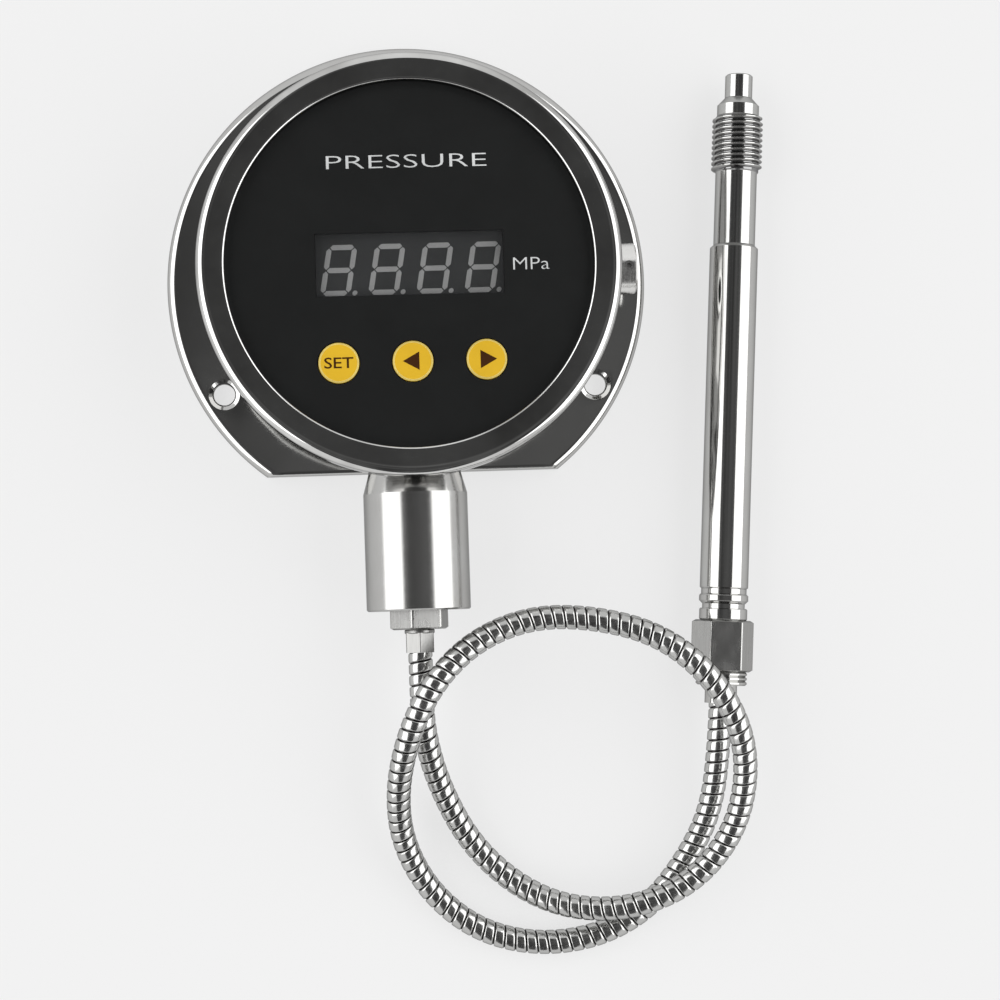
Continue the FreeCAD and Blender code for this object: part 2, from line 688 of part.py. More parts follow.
def neck_ferrule():
    """Crimp sleeve: round collar at the plug, six crimped flats along the rest."""
    body = turned([
        (CAPILLARY_R, PLUG_END), (NECK_FERRULE_R, PLUG_END), (NECK_FERRULE_R, NECK_FERRULE_END),
        (CAPILLARY_R, NECK_FERRULE_END)])
    crimp = hexagon(NECK_FERRULE_AF, PLUG_END + NECK_FERRULE_COLLAR, NECK_FERRULE_END + EPS,
                    clock=30)
    collar = rod(NECK_FERRULE_R + EPS, PLUG_END - EPS, PLUG_END + NECK_FERRULE_COLLAR)
    return to_neck(body.common(crimp.fuse(collar)))


# ---- cable outlet -------------------------------------------------------------------------
def set_screw_at():
    """Place of the set screw's axis along X."""
    return OUTLET_END - SET_SCREW_FROM_END


def cable_outlet():
    """Sleeve welded into the case wall, with a cross hole for the set screw."""
    start = CASE_R - OUTLET_R
    inner = CASE_BORE_R - OUTLET_SPIGOT_L
    sleeve = turned([
        (0, start), (OUTLET_R, start), (OUTLET_R, OUTLET_END - OUTLET_CHAMFER),
        (OUTLET_R - OUTLET_CHAMFER, OUTLET_END), (0, OUTLET_END)])
    sleeve = to_outlet(sleeve).cut(rod(CASE_R + WELD_GAP, 0, CASE_TOP))
    spigot = to_outlet(rod(OUTLET_SPIGOT_R, inner, CASE_R + OUTLET_CHAMFER))
    bore = to_outlet(rod(OUTLET_BORE_R, inner - EPS, OUTLET_END + EPS))
    cross = rod(SET_SCREW_R + SLIP / 2, OUTLET_Z, OUTLET_Z + OUTLET_R + EPS, (set_screw_at(), 0))
    return sleeve.fuse(spigot).cut(bore).cut(cross).removeSplitter()


def cable_bush():
    """Rubber bush that seals round the cable."""
    end = OUTLET_END - BUSH_INSET
    return to_outlet(ring(OUTLET_BORE_R - SLIP / 2, BUSH_BORE_R, end - BUSH_L, end))


def outlet_set_screw():
    """Headless screw with a hexagon socket, pressing on the bush."""
    low = OUTLET_Z + OUTLET_BORE_R + SLIP
    high = low + SET_SCREW_L
    at = (set_screw_at(), 0)
    socket = hexagon(SET_SCREW_SOCKET_AF, high - SET_SCREW_SOCKET_DEPTH, high + EPS, at)
    return rod(SET_SCREW_R, low, high, at).cut(socket)


# ---- probe --------------------------------------------------------------------------------
def stations():
    """Distance of each piece's hose end from the hose end of the probe."""
    places = {}
    run = 0.0
    for name, length in (("ferrule", FERRULE_L), ("adapter", ADAPTER_L), ("nut", NUT_L),
                         ("collar", COLLAR_L), ("groove", GROOVE_L), ("bead", BEAD_L),
                         ("neckdown", NECKDOWN_L), ("body", BODY_L), ("shank", SHANK_L),
                         ("thread", THREAD_L), ("land", LAND_L), ("cone", CONE_L),
                         ("nose", NOSE_L)):
        places[name] = run
        run += length
    places["tip"] = run
    return places


def probe_ferrule(at):
    """Crimp sleeve that holds the hose."""
    end = at["adapter"]
    return to_probe(turned([(CAPILLARY_R, 0), (FERRULE_R, 0), (FERRULE_R, end),
                            (CAPILLARY_R, end)]))


def hose_adapter(at):
    """Ringed adapter between the hose ferrule and the nut, with a spigot in the nut."""
    low, high = at["adapter"], at["nut"]
    pitch = (high - low) / ADAPTER_RINGS
    outline = [(CAPILLARY_R, low)]
    for i in range(ADAPTER_RINGS):
        base = low + i * pitch
        outline += [(ADAPTER_R - ADAPTER_GROOVE, base), (ADAPTER_R, base + pitch / 3),
                    (ADAPTER_R, base + pitch * 2 / 3), (ADAPTER_R - ADAPTER_GROOVE, base + pitch)]
    spigot = high + (at["collar"] - high) / 3
    cleaned = [p for i, p in enumerate(outline) if i == 0 or p != outline[i - 1]]
    cleaned += [(SPIGOT_R, high), (SPIGOT_R, spigot), (CAPILLARY_R, spigot)]
    return to_probe(turned(cleaned))


def probe_nut(at):
    """Hexagonal nut, chamfered at both ends, lying on one flat."""
    body = chamfered_hexagon(NUT_AF, at["nut"], at["collar"])
    return to_probe(body.cut(rod(NUT_BORE_R, at["nut"] - EPS, at["collar"] + EPS)))


def end_fitting(at):
    """Turned end of the probe: collar, groove and bead, with spigots into nut and body."""
    nut_spigot = at["nut"] + NUT_L * 2 / 3
    body_spigot = at["body"] + BODY_BORE_R
    outer = BODY_BORE_R - SLIP
    edge = COLLAR_EDGE
    return to_probe(turned([
        (CAPILLARY_R, nut_spigot), (SPIGOT_R, nut_spigot), (SPIGOT_R, at["collar"]),
        (COLLAR_R - edge, at["collar"]), (COLLAR_R, at["collar"] + edge),
        (COLLAR_R, at["groove"] - edge), (COLLAR_R - edge, at["groove"]),
        (GROOVE_R, at["groove"]), (GROOVE_R, at["bead"]),
        (BEAD_R, at["bead"] + BEAD_R - GROOVE_R), (BEAD_R, at["neckdown"] - BEAD_R + NECKDOWN_R),
        (NECKDOWN_R, at["neckdown"]), (NECKDOWN_R, at["body"]),
        (outer, at["body"]), (outer, body_spigot), (CAPILLARY_R, body_spigot)]))


def probe_body(at):
    """Stem tube, chamfered at both ends."""
    low, high = at["body"], at["shank"]
    seat = high - SHANK_INSERT
    return to_probe(turned([
        (BODY_BORE_R, low), (BODY_R - BODY_CHAMFER / 2, low), (BODY_R, low + BODY_CHAMFER / 2),
        (BODY_R, high - BODY_CHAMFER), (SHANK_R, high), (SHANK_R - BODY_CHAMFER + SLIP, high),
        (SHANK_R - BODY_CHAMFER + SLIP, seat), (BODY_BORE_R, seat)]))


def probe_tip(at):
    """Turned tip: insert in the stem, shank, mounting thread blank, sealing cone and nose."""
    low, thread, land = at["shank"], at["thread"], at["land"]
    tip = at["tip"]
    insert_r = SHANK_R - BODY_CHAMFER
    body = turned([
        (OIL_BORE_R, low - SHANK_INSERT), (insert_r, low - SHANK_INSERT), (insert_r, low),
        (SHANK_R, low), (SHANK_R, thread), (THREAD_R - THREAD_CHAMFER, thread),
        (THREAD_R, thread + THREAD_CHAMFER), (THREAD_R, land - THREAD_CHAMFER),
        (THREAD_R - THREAD_CHAMFER, land), (LAND_R, land), (LAND_R, at["cone"]),
        (NOSE_R, at["nose"]), (NOSE_R, tip - NOSE_CHAMFER), (NOSE_R - NOSE_CHAMFER, tip),
        (DIAPHRAGM_R, tip), (DIAPHRAGM_R, tip - DIAPHRAGM_T), (OIL_BORE_R, tip - DIAPHRAGM_T)])
    return to_probe(body)


def probe_diaphragm(at):
    """Thin sensing disc let into the end of the nose."""
    return to_probe(rod(DIAPHRAGM_R, at["tip"] - DIAPHRAGM_T, at["tip"]))


# ---- hose ---------------------------------------------------------------------------------
def hose_route():
    """All the points of the hose, from the neck's ferrule to the probe's ferrule."""
    start = V(0, -NECK_FERRULE_END, NECK_Z)
    before_end = PROBE_AT - probe_direction() * HOSE_END_RUN
    return ([start, start - Y * HOSE_START_RUN] + [V(*p) for p in HOSE_POINTS]
            + [before_end, PROBE_AT])


def arc_radii(route):
    """The radius at each inner point: as large as its two runs allow."""
    radii = [0.0]
    for before, point, after in zip(route, route[1:], route[2:]):
        into, out = point - before, after - point
        half = into.getAngle(out) / 2
        radii.append(HOSE_ARC_SHARE * min(into.Length, out.Length) / math.tan(half))
    return radii + [0.0]


def armored_hose():
    """Flexible hose: straight runs joined by tangent arcs, one plain tube."""
    route = hose_route()
    radii = arc_radii(route)
    wire = rounded_wire(list(zip(route, radii)), closed=False)
    section = Part.Wire(Part.makeCircle(HOSE_R, route[0], route[1] - route[0]))
    tube = wire.makePipeShell([section], True, False)
    runs = [(b - a).Length for a, b in zip(route, route[1:])]
    print("hose length %.1f, smallest radius %.1f, runs %.1f to %.1f" % (
        wire.Length, min(radii[1:-1]), min(runs), max(runs)))
    print("hose radii", " ".join("%.0f" % r for r in radii[1:-1]))
    print("hose volume over section x length %.5f" % (
        tube.Volume / (math.pi * HOSE_R ** 2 * wire.Length)))
    return tube


def pieces():
    """Every piece of the transmitter by name."""
    at = stations()
    made = {
        "rear_flange": rear_flange(), "case_pan": case_pan(), "bezel_ring": bezel_ring(),
        "bezel_gasket": bezel_gasket(), "face_panel": face_panel(),
        "display_window": display_window(), "display_module": display_module(),
        "display_pins": display_pins(), "display_board": display_board(),
        "switch_housings": switch_housings(),
        "upper_posts": posts(MAIN_BOARD_TOP, DISPLAY_BOARD_BOTTOM),
        "lower_posts": posts(CASE_FLOOR, MAIN_BOARD_BOTTOM),
        "main_board": main_board(), "board_screws": board_screws(),
        "board_header": board_header(), "terminal_block": terminal_block(),
        "terminal_screws": terminal_screws(), "processor_chip": processor_chip(),
        "supply_capacitor": supply_capacitor(),
        "neck_housing": neck_housing(), "sensor_capsule": sensor_capsule(),
        "capsule_seal": capsule_seal(), "capsule_retainer": capsule_retainer(),
        "neck_plug": neck_plug(), "neck_ferrule": neck_ferrule(),
        "cable_outlet": cable_outlet(), "cable_bush": cable_bush(),
        "outlet_set_screw": outlet_set_screw(),
        "armored_hose": armored_hose(), "probe_ferrule": probe_ferrule(at),
        "hose_adapter": hose_adapter(at), "probe_nut": probe_nut(at),
        "end_fitting": end_fitting(at), "probe_body": probe_body(at),
        "probe_tip": probe_tip(at), "probe_diaphragm": probe_diaphragm(at),
    }
    for name, x in KEYS.items():
        made[name + "_key"] = key_cap(x)
        made[name + "_plunger"] = plunger(x)
    return made


os.makedirs("parts", exist_ok=True)
for node, shape in pieces().items():
    shape.exportStep("parts/" + node + ".step")
    print("%-18s solids %d  volume %9.1f  valid %s" % (
        node, len(shape.Solids), shape.Volume, shape.isValid()))
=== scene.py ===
import logging
import math
from dataclasses import dataclass
from enum import Enum
from itertools import accumulate
from typing import Sequence

import bmesh
import bpy
from mathutils import Euler, Matrix, Vector


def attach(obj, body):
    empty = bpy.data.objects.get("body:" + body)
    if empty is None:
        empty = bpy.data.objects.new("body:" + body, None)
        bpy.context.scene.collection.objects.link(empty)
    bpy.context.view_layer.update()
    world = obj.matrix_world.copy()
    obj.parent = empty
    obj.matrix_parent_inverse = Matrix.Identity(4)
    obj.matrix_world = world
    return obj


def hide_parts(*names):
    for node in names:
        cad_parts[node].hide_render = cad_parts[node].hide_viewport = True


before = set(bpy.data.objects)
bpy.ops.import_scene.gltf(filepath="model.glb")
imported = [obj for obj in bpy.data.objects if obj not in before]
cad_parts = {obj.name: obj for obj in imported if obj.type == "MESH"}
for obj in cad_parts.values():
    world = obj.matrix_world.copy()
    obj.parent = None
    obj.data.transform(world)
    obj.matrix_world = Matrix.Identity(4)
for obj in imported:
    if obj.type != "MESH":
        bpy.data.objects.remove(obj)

# A digital pressure transmitter: a flanged round head with a display and three keys, a turned
# neck, and a threaded probe on a stripwound steel hose.  The solids carry the main shapes; this
# script dresses them, and adds the hose's winding, the thread, the printing and the display.

MM = 0.001
UP = Vector((0.0, 0.0, 1.0))
ROOT_BODY = "transmitter"
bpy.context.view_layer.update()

log = logging.getLogger("pressure_transmitter")

Pair = tuple[float, float]
Point = tuple[float, float, float]
Colour = tuple[float, float, float]
BMesh, BMEdge, BMVert = bmesh.types.BMesh, bmesh.types.BMEdge, bmesh.types.BMVert
Material, Node, Socket = bpy.types.Material, bpy.types.Node, bpy.types.NodeSocket

STEEL_EDGE = (0.45, 0.45, 0.45, 1.0)    # tint of steel seen at a grazing angle
SUPPORT = 0.12                          # how far past an arc its support lies, in radii
WELD = 0.0005                           # points nearer than this, in mm, become one
KEY_TOP = 39.2                          # height of the keys' faces, in mm
KEY_ROW = -25.6                         # where their row lies along Y, in mm


class Key(Enum):
    """The three keys, by their places along their row (mm)."""

    SET = -19.3
    LEFT = 0.0
    RIGHT = 19.3

    @property
    def carrier(self) -> "Carrier":
        """What a piece on the key moves with."""
        return Carrier("key_yellow", self.named("button"))

    def named(self, what: str) -> str:
        """The name of something that belongs to the key."""
        return f"{self.name.lower()}_{what}"


class Lie(Enum):
    """How a piece's own axis lies: the turn that carries Z onto it, and a point on it (mm)."""

    HEAD = ((0.0, 0.0, 0.0), (0.0, 0.0, 0.0))
    NECK = ((90.0, 0.0, 0.0), (0.0, 0.0, 17.0))
    OUTLET = ((0.0, 90.0, 0.0), (0.0, 0.0, 20.0))
    PROBE = ((-90.0, 0.0, -3.965), (81.95, -118.42, 7.5))

    @property
    def turn(self) -> Euler:
        """The rotation part, as Euler angles."""
        return Euler([math.radians(angle) for angle in self.value[0]])

    @property
    def place(self) -> Vector:
        """The point on the axis, in metres."""
        return Vector(self.value[1]) * MM

    def matrix(self) -> Matrix:
        """The matrix that lays a piece made along Z, from the origin, in its place."""
        return Matrix.Translation(self.place) @ self.turn.to_matrix().to_4x4()


# ---- finishes -----------------------------------------------------------------------------
@dataclass(frozen=True)
class Grain:
    """A noise: its cell in mm, how many finer layers it has and how strong they are."""

    cell: Point
    layers: float = 3.0
    strength: float = 0.6


class Graph:
    """A tree of shader nodes, with short ways to add and to join them."""

    def __init__(self, tree: bpy.types.NodeTree) -> None:
        """Take a tree and empty it."""
        self.tree = tree
        tree.nodes.clear()

    def feed(self, target: Socket, value: Node | Socket | float | Sequence[float]) -> None:
        """Give an input what it takes.

        Args:
            target: the input.
            value: a node, whose first output it takes, an output, or a plain value.
        """
        if isinstance(value, Node):
            value = value.outputs[0]
        if isinstance(value, Socket):
            self.tree.links.new(value, target)
        else:
            target.default_value = value

    def add(self, kind: str, *values: object, **named: object) -> Node:
        """Add a node.

        Args:
            kind: its type, without ShaderNode.
            values: what its first inputs take.
            named: its settings, in lower case, and what further inputs take, with _ for a
                space in an input's name.

        Returns:
            The node.
        """
        node = self.tree.nodes.new(f"ShaderNode{kind}")
        for name, value in named.items():
            if name.islower():
                setattr(node, name, value)
            else:
                self.feed(node.inputs[name.replace("_", " ")], value)
        for target, value in zip(node.inputs, values):
            self.feed(target, value)
        return node

    def place(self) -> Socket:
        """Object coordinates."""
        return self.add("TexCoord").outputs["Object"]

    def layer(self, name: str) -> Socket:
        """A float layer of the shape."""
        return self.add("Attribute", attribute_name=name).outputs["Fac"]

    def cells(self, cell: Point, lie: Lie = Lie.HEAD) -> Node:
        """Object coordinates along a piece's axis, in cells.

        Args:
            cell: the size in mm that becomes 1, across, across and along the axis.
            lie: the axis.

        Returns:
            The node.
        """
        return self.add("Mapping", self.place(), lie.place, lie.turn,
                        [size * MM for size in cell], vector_type="TEXTURE")

    def noise(self, grain: Grain, lie: Lie = Lie.HEAD) -> Node:
        """Noise of a grain along a piece's axis."""
        return self.add("TexNoise", self.cells(grain.cell, lie), Scale=1.0,
                        Detail=grain.layers, Roughness=grain.strength)

    def spread(self, factor: Node, low: float, high: float, start: float = 0.3,
               end: float = 0.7) -> Node:
        """Map a factor between start and end to the range from low to high."""
        return self.add("MapRange", factor, start, end, low, high)

    def blend(self, factor: Node | Socket, stops: Sequence[float], *colours: Colour) -> Node:
        """A colour ramp.

        Args:
            factor: what it runs over.
            stops: its places, in order.
            colours: the colour at each of them.

        Returns:
            The node.
        """
        node = self.add("ValToRGB", factor)
        elements = node.color_ramp.elements
        while len(elements) < len(stops):
            elements.new(0.5)
        for element, stop, colour in zip(elements, stops, colours):
            element.position = stop
            element.color = (*colour, 1.0)
        return node

    def bright_rays(self) -> Node:
        """Tell the rays that show the surroundings from those that only light the object.

        Returns:
            A node that gives 1 for camera, glossy and transmission rays, else 0.
        """
        path = self.add("LightPath").outputs
        seen = self.add("Math", path["Is Camera Ray"], path["Is Glossy Ray"],
                        operation="MAXIMUM")
        return self.add("Math", seen, path["Is Transmission Ray"], operation="MAXIMUM")


class Shader(Graph):
    """A material with a Principled shader."""

    def __init__(self, name: str, **inputs: object) -> None:
        """Start the material.

        Args:
            name: its name.
            inputs: what the shader's inputs take, as in add.
        """
        self.material = bpy.data.materials.new(name)
        self.material.use_nodes = True
        super().__init__(self.material.node_tree)
        self.base = self.add("BsdfPrincipled", **inputs)
        self.output = self.add("OutputMaterial", self.base)

    def wear(self, colour: Node, rough: Node | float,
             *layers: tuple[Node | Socket, float, float]) -> Material:
        """Complete the material.

        Args:
            colour: its base colour.
            rough: its roughness.
            layers: its relief: each a height, a strength and a depth in millimetres.

        Returns:
            The material.
        """
        relief = {}
        for height, strength, depth in layers:
            relief["Normal"] = self.add("Bump", strength, depth * MM, Height=height, **relief)
        for name, value in {"Base Color": colour, "Roughness": rough, **relief}.items():
            self.feed(self.base.inputs[name], value)
        return self.material


@dataclass(frozen=True)
class Metal:
    """What the steels share: a tone with a darker and a bright tint, and a gloss; the darker
    tint is random wear on most steels and painted shade on the thread and the hose.
    """

    name: str
    lie: Lie = Lie.HEAD
    tone: float = 0.51
    rough: float = 0.14
    gloss: Pair = (0.8, 1.3)
    worn_and_shaded: Colour = (0.93, 0.92, 0.90)
    bright: Colour = (1.0, 1.0, 0.98)
    stops: tuple[float, ...] = (0.30, 0.70)

    def start(self) -> Shader:
        """A shader of bare steel."""
        return Shader(self.name, Metallic=1.0, Specular_Tint=STEEL_EDGE)

    def shade(self, tint: Colour, share: float = 1.0) -> Colour:
        """A share of its tone under a tint."""
        return tuple(self.tone * share * part for part in tint)

    def sheen(self, steel: Shader, factor: Node) -> Node:
        """Its roughness, varied by a factor."""
        low, high = self.gloss
        return steel.spread(factor, self.rough * low, self.rough * high)


@dataclass(frozen=True)
class PolishedSheet(Metal):
    """Stainless sheet, polished nearly to a mirror, with the waviness of pressing."""

    tone: float = 0.54
    rough: float = 0.07
    gloss: Pair = (0.75, 1.4)
    worn_and_shaded: Colour = (1.0, 0.99, 0.97)
    bright: Colour = (1.0, 1.0, 0.985)
    patch: float = 9.0
    cloud: float = 0.05
    wave: float = 0.10
    wave_grain: Grain = Grain((14.0, 14.0, 14.0), 1.0, 0.4)
    wave_depth: float = 0.6
    rub: float = 0.012
    rub_grain: Grain = Grain((4.0, 0.3, 0.8), 2.0)
    rub_depth: float = 0.05

    def build(self) -> Material:
        """Make the material.

        Returns:
            The material.
        """
        steel = self.start()
        haze = steel.noise(Grain((self.patch,) * 3, 4.0))
        colour = steel.blend(haze, self.stops, self.shade(self.worn_and_shaded, 1.0 - self.cloud),
                             self.shade(self.bright))
        return steel.wear(colour, self.sheen(steel, haze),
                          (steel.noise(self.wave_grain), self.wave, self.wave_depth),
                          (steel.noise(self.rub_grain), self.rub, self.rub_depth))


@dataclass(frozen=True)
class TurnedSteel(Metal):
    """Stainless bar, turned and finely polished: faint rings round the piece's own axis."""

    rings: Grain = Grain((7.0, 7.0, 0.16), 3.0, 0.65)
    clouds: Grain = Grain((5.0, 5.0, 12.0), 3.0, 0.5)
    mark: float = 0.10
    depth: float = 0.05

    def colour(self, steel: Shader) -> Node:
        """Its tone, slightly clouded."""
        return steel.blend(steel.noise(self.clouds, self.lie), self.stops,
                           self.shade(self.worn_and_shaded), self.shade(self.bright))

    def build(self) -> Material:
        """Make the material.

        Returns:
            The material.
        """
        steel = self.start()
        rings = steel.noise(self.rings, self.lie)
        return steel.wear(self.colour(steel), self.sheen(steel, rings),
                          (rings, self.mark, self.depth))


@dataclass(frozen=True)
class CutSteel(TurnedSteel):
    """Turned bar with a cut thread: darker towards the root as painted shade, read from the
    thread's crest.
    """

    tone: float = 0.48
    rough: float = 0.11
    # Tint of the flanks, darkened towards the root as painted shade.
    worn_and_shaded: Colour = (0.72, 0.71, 0.70)
    stops: tuple[float, ...] = (0.0, 0.70, 1.0)
    depth: float = 0.03
    # The tone at the thread's root: painted shade in the groove.
    root: float = 0.26

    def colour(self, steel: Shader) -> Node:
        """Its tone from the thread's root to its crest, darker at the root as painted shade."""
        return steel.blend(steel.layer(ThreadedTip.CREST), self.stops, (self.root,) * 3,
                           self.shade(self.worn_and_shaded), self.shade(self.bright))


@dataclass(frozen=True)
class BrushedFacet(Metal):
    """Milled flats of a hexagon: streaks along the piece's axis."""

    tone: float = 0.50
    rough: float = 0.26
    gloss: Pair = (0.8, 1.2)
    worn_and_shaded: Colour = (0.80, 0.79, 0.77)
    stops: tuple[float, ...] = (0.25, 0.72)
    streaks: Grain = Grain((0.22, 0.22, 9.0), 3.0, 0.7)
    clouds: Grain = Grain((4.0, 4.0, 6.0), 2.0, 0.5)
    mark: float = 0.22
    depth: float = 0.05

    def build(self) -> Material:
        """Make the material.

        Returns:
            The material.
        """
        steel = self.start()
        streaks = steel.noise(self.streaks, self.lie)
        colour = steel.blend(streaks, self.stops, self.shade(self.worn_and_shaded),
                             self.shade(self.bright))
        return steel.wear(colour, self.sheen(steel, steel.noise(self.clouds, self.lie)),
                          (streaks, self.mark, self.depth))


@dataclass(frozen=True)
class WoundSteel(Metal):
    """Stripwound armour: bright crowns and dark seams, the seams' darkness painted shade, read
    from the winding's crest.
    """

    tone: float = 0.52
    rough: float = 0.10
    gloss: Pair = (1.0, 2.6)
    # Tint below the crowns, darkened towards the seams as painted shade.
    worn_and_shaded: Colour = (0.80, 0.79, 0.77)
    stops: tuple[float, ...] = (0.15, 0.60, 0.92)
    # The near-black at the seams: painted shade between the windings.
    seam: float = 0.04
    clouds: Grain = Grain((1.6, 1.6, 1.6))
    mark: float = 0.12
    depth: float = 0.08

    def build(self) -> Material:
        """Make the material.

        Returns:
            The material.
        """
        steel = self.start()
        clouds = steel.noise(self.clouds)
        colour = steel.blend(steel.layer(ArmouredHose.CREST), self.stops, (self.seam,) * 3,
                             self.shade(self.worn_and_shaded), self.shade(self.bright))
        return steel.wear(colour, self.sheen(steel, clouds), (clouds, self.mark, self.depth))


@dataclass(frozen=True)
class Moulded:
    """Moulded, coated or printed surface: one colour with a fine grain and slight clouding."""

    name: str
    colour: Colour
    rough: float = 0.45
    grain: float = 0.25
    mark: float = 0.25
    depth: float = 0.01
    cloud: float = 0.12
    clouds: Grain = Grain((11.0, 11.0, 11.0), 3.0, 0.5)
    stops: Pair = (0.32, 0.68)
    vary: float = 0.12
    specular: float = 0.5
    alpha: float = 1.0

    def build(self) -> Material:
        """Make the material.

        Returns:
            The material.
        """
        stuff = Shader(self.name, Specular_IOR_Level=self.specular, Alpha=self.alpha)
        fine = stuff.noise(Grain((self.grain,) * 3, 2.0, 0.5))
        dark = tuple(part * (1.0 - self.cloud) for part in self.colour)
        light = tuple(min(part * (1.0 + self.cloud), 1.0) for part in self.colour)
        colour = stuff.blend(stuff.noise(self.clouds), self.stops, dark, light)
        rough = stuff.spread(fine, self.rough * (1 - self.vary), self.rough * (1 + self.vary))
        return stuff.wear(colour, rough, (fine, self.mark, self.depth))


@dataclass(frozen=True)
class SolderMask:
    """Green circuit board with faint copper tracks under the mask."""

    name: str
    mask: Colour = (0.012, 0.110, 0.040)
    track: Colour = (0.030, 0.190, 0.070)
    stops: Pair = (0.05, 0.10)
    cell: Point = (3.2, 3.2, 50.0)
    rough: float = 0.32
    mark: float = 0.2
    depth: float = 0.05

    def build(self) -> Material:
        """Make the material.

        Returns:
            The material.
        """
        board = Shader(self.name)
        tracks = board.add("TexVoronoi", board.cells(self.cell), distance="MANHATTAN",
                           feature="DISTANCE_TO_EDGE", Scale=1.0).outputs["Distance"]
        return board.wear(board.blend(tracks, self.stops, self.track, self.mask), self.rough,
                          (tracks, self.mark, self.depth))


class Finishes:
    """All the finishes of the transmitter, each made once and put on its solids."""

    def __init__(self) -> None:
        """Make every finish, and keep those that new pieces wear."""
        made = self.made
        self.sheet = made(PolishedSheet("polished_sheet"), "case_pan")
        self.bezel = made(PolishedSheet("polished_bezel", tone=0.76, rough=0.06, wave=0.05,
                                        patch=26.0, cloud=0.42))
        made(TurnedSteel("turned_neck", Lie.NECK, rough=0.17), "neck_housing",
             "sensor_capsule", "capsule_retainer")
        made(TurnedSteel("turned_outlet", Lie.OUTLET, tone=0.84, rough=0.22), "cable_outlet")
        made(TurnedSteel("turned_probe", Lie.PROBE, rough=0.09, depth=0.03), "probe_ferrule",
             "hose_adapter", "end_fitting", "probe_body", "probe_diaphragm")
        self.tip = made(CutSteel("threaded_steel", Lie.PROBE))
        self.nut = made(BrushedFacet("brushed_nut", Lie.PROBE))
        self.plug = made(BrushedFacet("brushed_plug", Lie.NECK))
        self.sleeve = made(BrushedFacet("crimped_steel", Lie.NECK, tone=0.34, rough=0.34))
        self.armour = made(WoundSteel("wound_armour"))
        made(TurnedSteel("plain_screw", tone=0.60, rough=0.22), "board_screws",
             "terminal_screws", "outlet_set_screw")
        made(Moulded("satin_panel", (0.0074, 0.0079, 0.0079), rough=0.42, grain=0.18,
                     depth=0.012, specular=0.25), "face_panel")
        made(Moulded("smoked_pane", (0.038, 0.039, 0.040), rough=0.12, grain=2.0,
                     depth=0.004, specular=0.25, alpha=0.30), "display_window")
        made(Moulded("display_moulding", (0.062, 0.064, 0.065), rough=0.5), "display_module")
        self.segment = made(Moulded("unlit_segment", (0.88, 0.885, 0.88), rough=0.5,
                                    grain=0.6, cloud=0.08))
        made(Moulded("key_yellow", (0.75, 0.455, 0.013), rough=0.38, grain=0.3, cloud=0.05),
             *(key.named("key") for key in Key))
        # A paler yellow for the keys' raised edges: a painted highlight where light catches
        # them.
        self.key_edge_highlight = made(Moulded("key_edge_highlight", (0.80, 0.62, 0.17), rough=0.4, cloud=0.1))
        self.legend = made(Moulded("brown_legend", (0.050, 0.017, 0.003), rough=0.6,
                                   specular=0.1))
        self.ink = made(Moulded("white_ink", (0.62, 0.63, 0.63), rough=0.55))
        made(SolderMask("solder_mask"), "display_board", "main_board")
        made(Moulded("switch_black", (0.02, 0.02, 0.021), rough=0.4), "switch_housings",
             "board_header", "processor_chip", *(key.named("plunger") for key in Key))
        made(Moulded("terminal_green", (0.04, 0.34, 0.11), rough=0.42), "terminal_block")
        made(TurnedSteel("brass_post", tone=0.70, rough=0.2), "upper_posts", "lower_posts")
        made(TurnedSteel("tinned_pin", tone=0.72, rough=0.22), "display_pins")
        made(PolishedSheet("capacitor_can", tone=0.62, rough=0.2), "supply_capacitor")
        made(Moulded("seal_rubber", (0.024, 0.024, 0.025), rough=0.7, grain=0.15, depth=0.02,
                     specular=0.3), "bezel_gasket", "cable_bush", "capsule_seal")

    def made(self, finish: Metal | Moulded | SolderMask, *nodes: str) -> Material:
        """Make one finish.

        Args:
            finish: what it is.
            nodes: the carried-over solids that wear it.

        Returns:
            The material.
        """
        material = finish.build()
        for node in nodes:
            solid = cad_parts[node]
            for held in solid.material_slots:
                held.material = material
            if not solid.material_slots:
                solid.data.materials.append(material)
            log.info("solid %s wears %s", node, material.name)
        return material


# ---- making pieces ------------------------------------------------------------------------
@dataclass(frozen=True)
class Carrier:
    """What a new piece moves with, and a slot's name, which nothing here reads."""

    slot: str
    body: str = ROOT_BODY

    def settle(self, bm: BMesh, name: str, finish: Material, lie: Lie = Lie.HEAD,
               sharp: float = 32.0) -> bpy.types.Object:
        """Turn a bmesh, in metres along its own axis, into a finished piece.

        Args:
            bm: the shape, which is used up.
            name: the piece's name.
            finish: its material.
            lie: how its axis lies.
            sharp: the angle in degrees past which an edge stays sharp.

        Returns:
            The piece, at the origin with its place in its mesh.
        """
        bmesh.ops.remove_doubles(bm, verts=bm.verts, dist=WELD * MM)
        bmesh.ops.recalc_face_normals(bm, faces=bm.faces)
        bmesh.ops.transform(bm, matrix=lie.matrix(), verts=bm.verts)
        mesh = bpy.data.meshes.new(name)
        bm.to_mesh(mesh)
        bm.free()
        mesh.polygons.foreach_set("use_smooth", [True] * len(mesh.polygons))
        mesh.set_sharp_from_angle(angle=math.radians(sharp))
        mesh.materials.append(finish)
        piece = bpy.data.objects.new(name, mesh)
        bpy.context.scene.collection.objects.link(piece)
        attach(piece, self.body)
        log.info("piece %s: %d faces, rides on %s", name, len(mesh.polygons), self.body)
        return piece


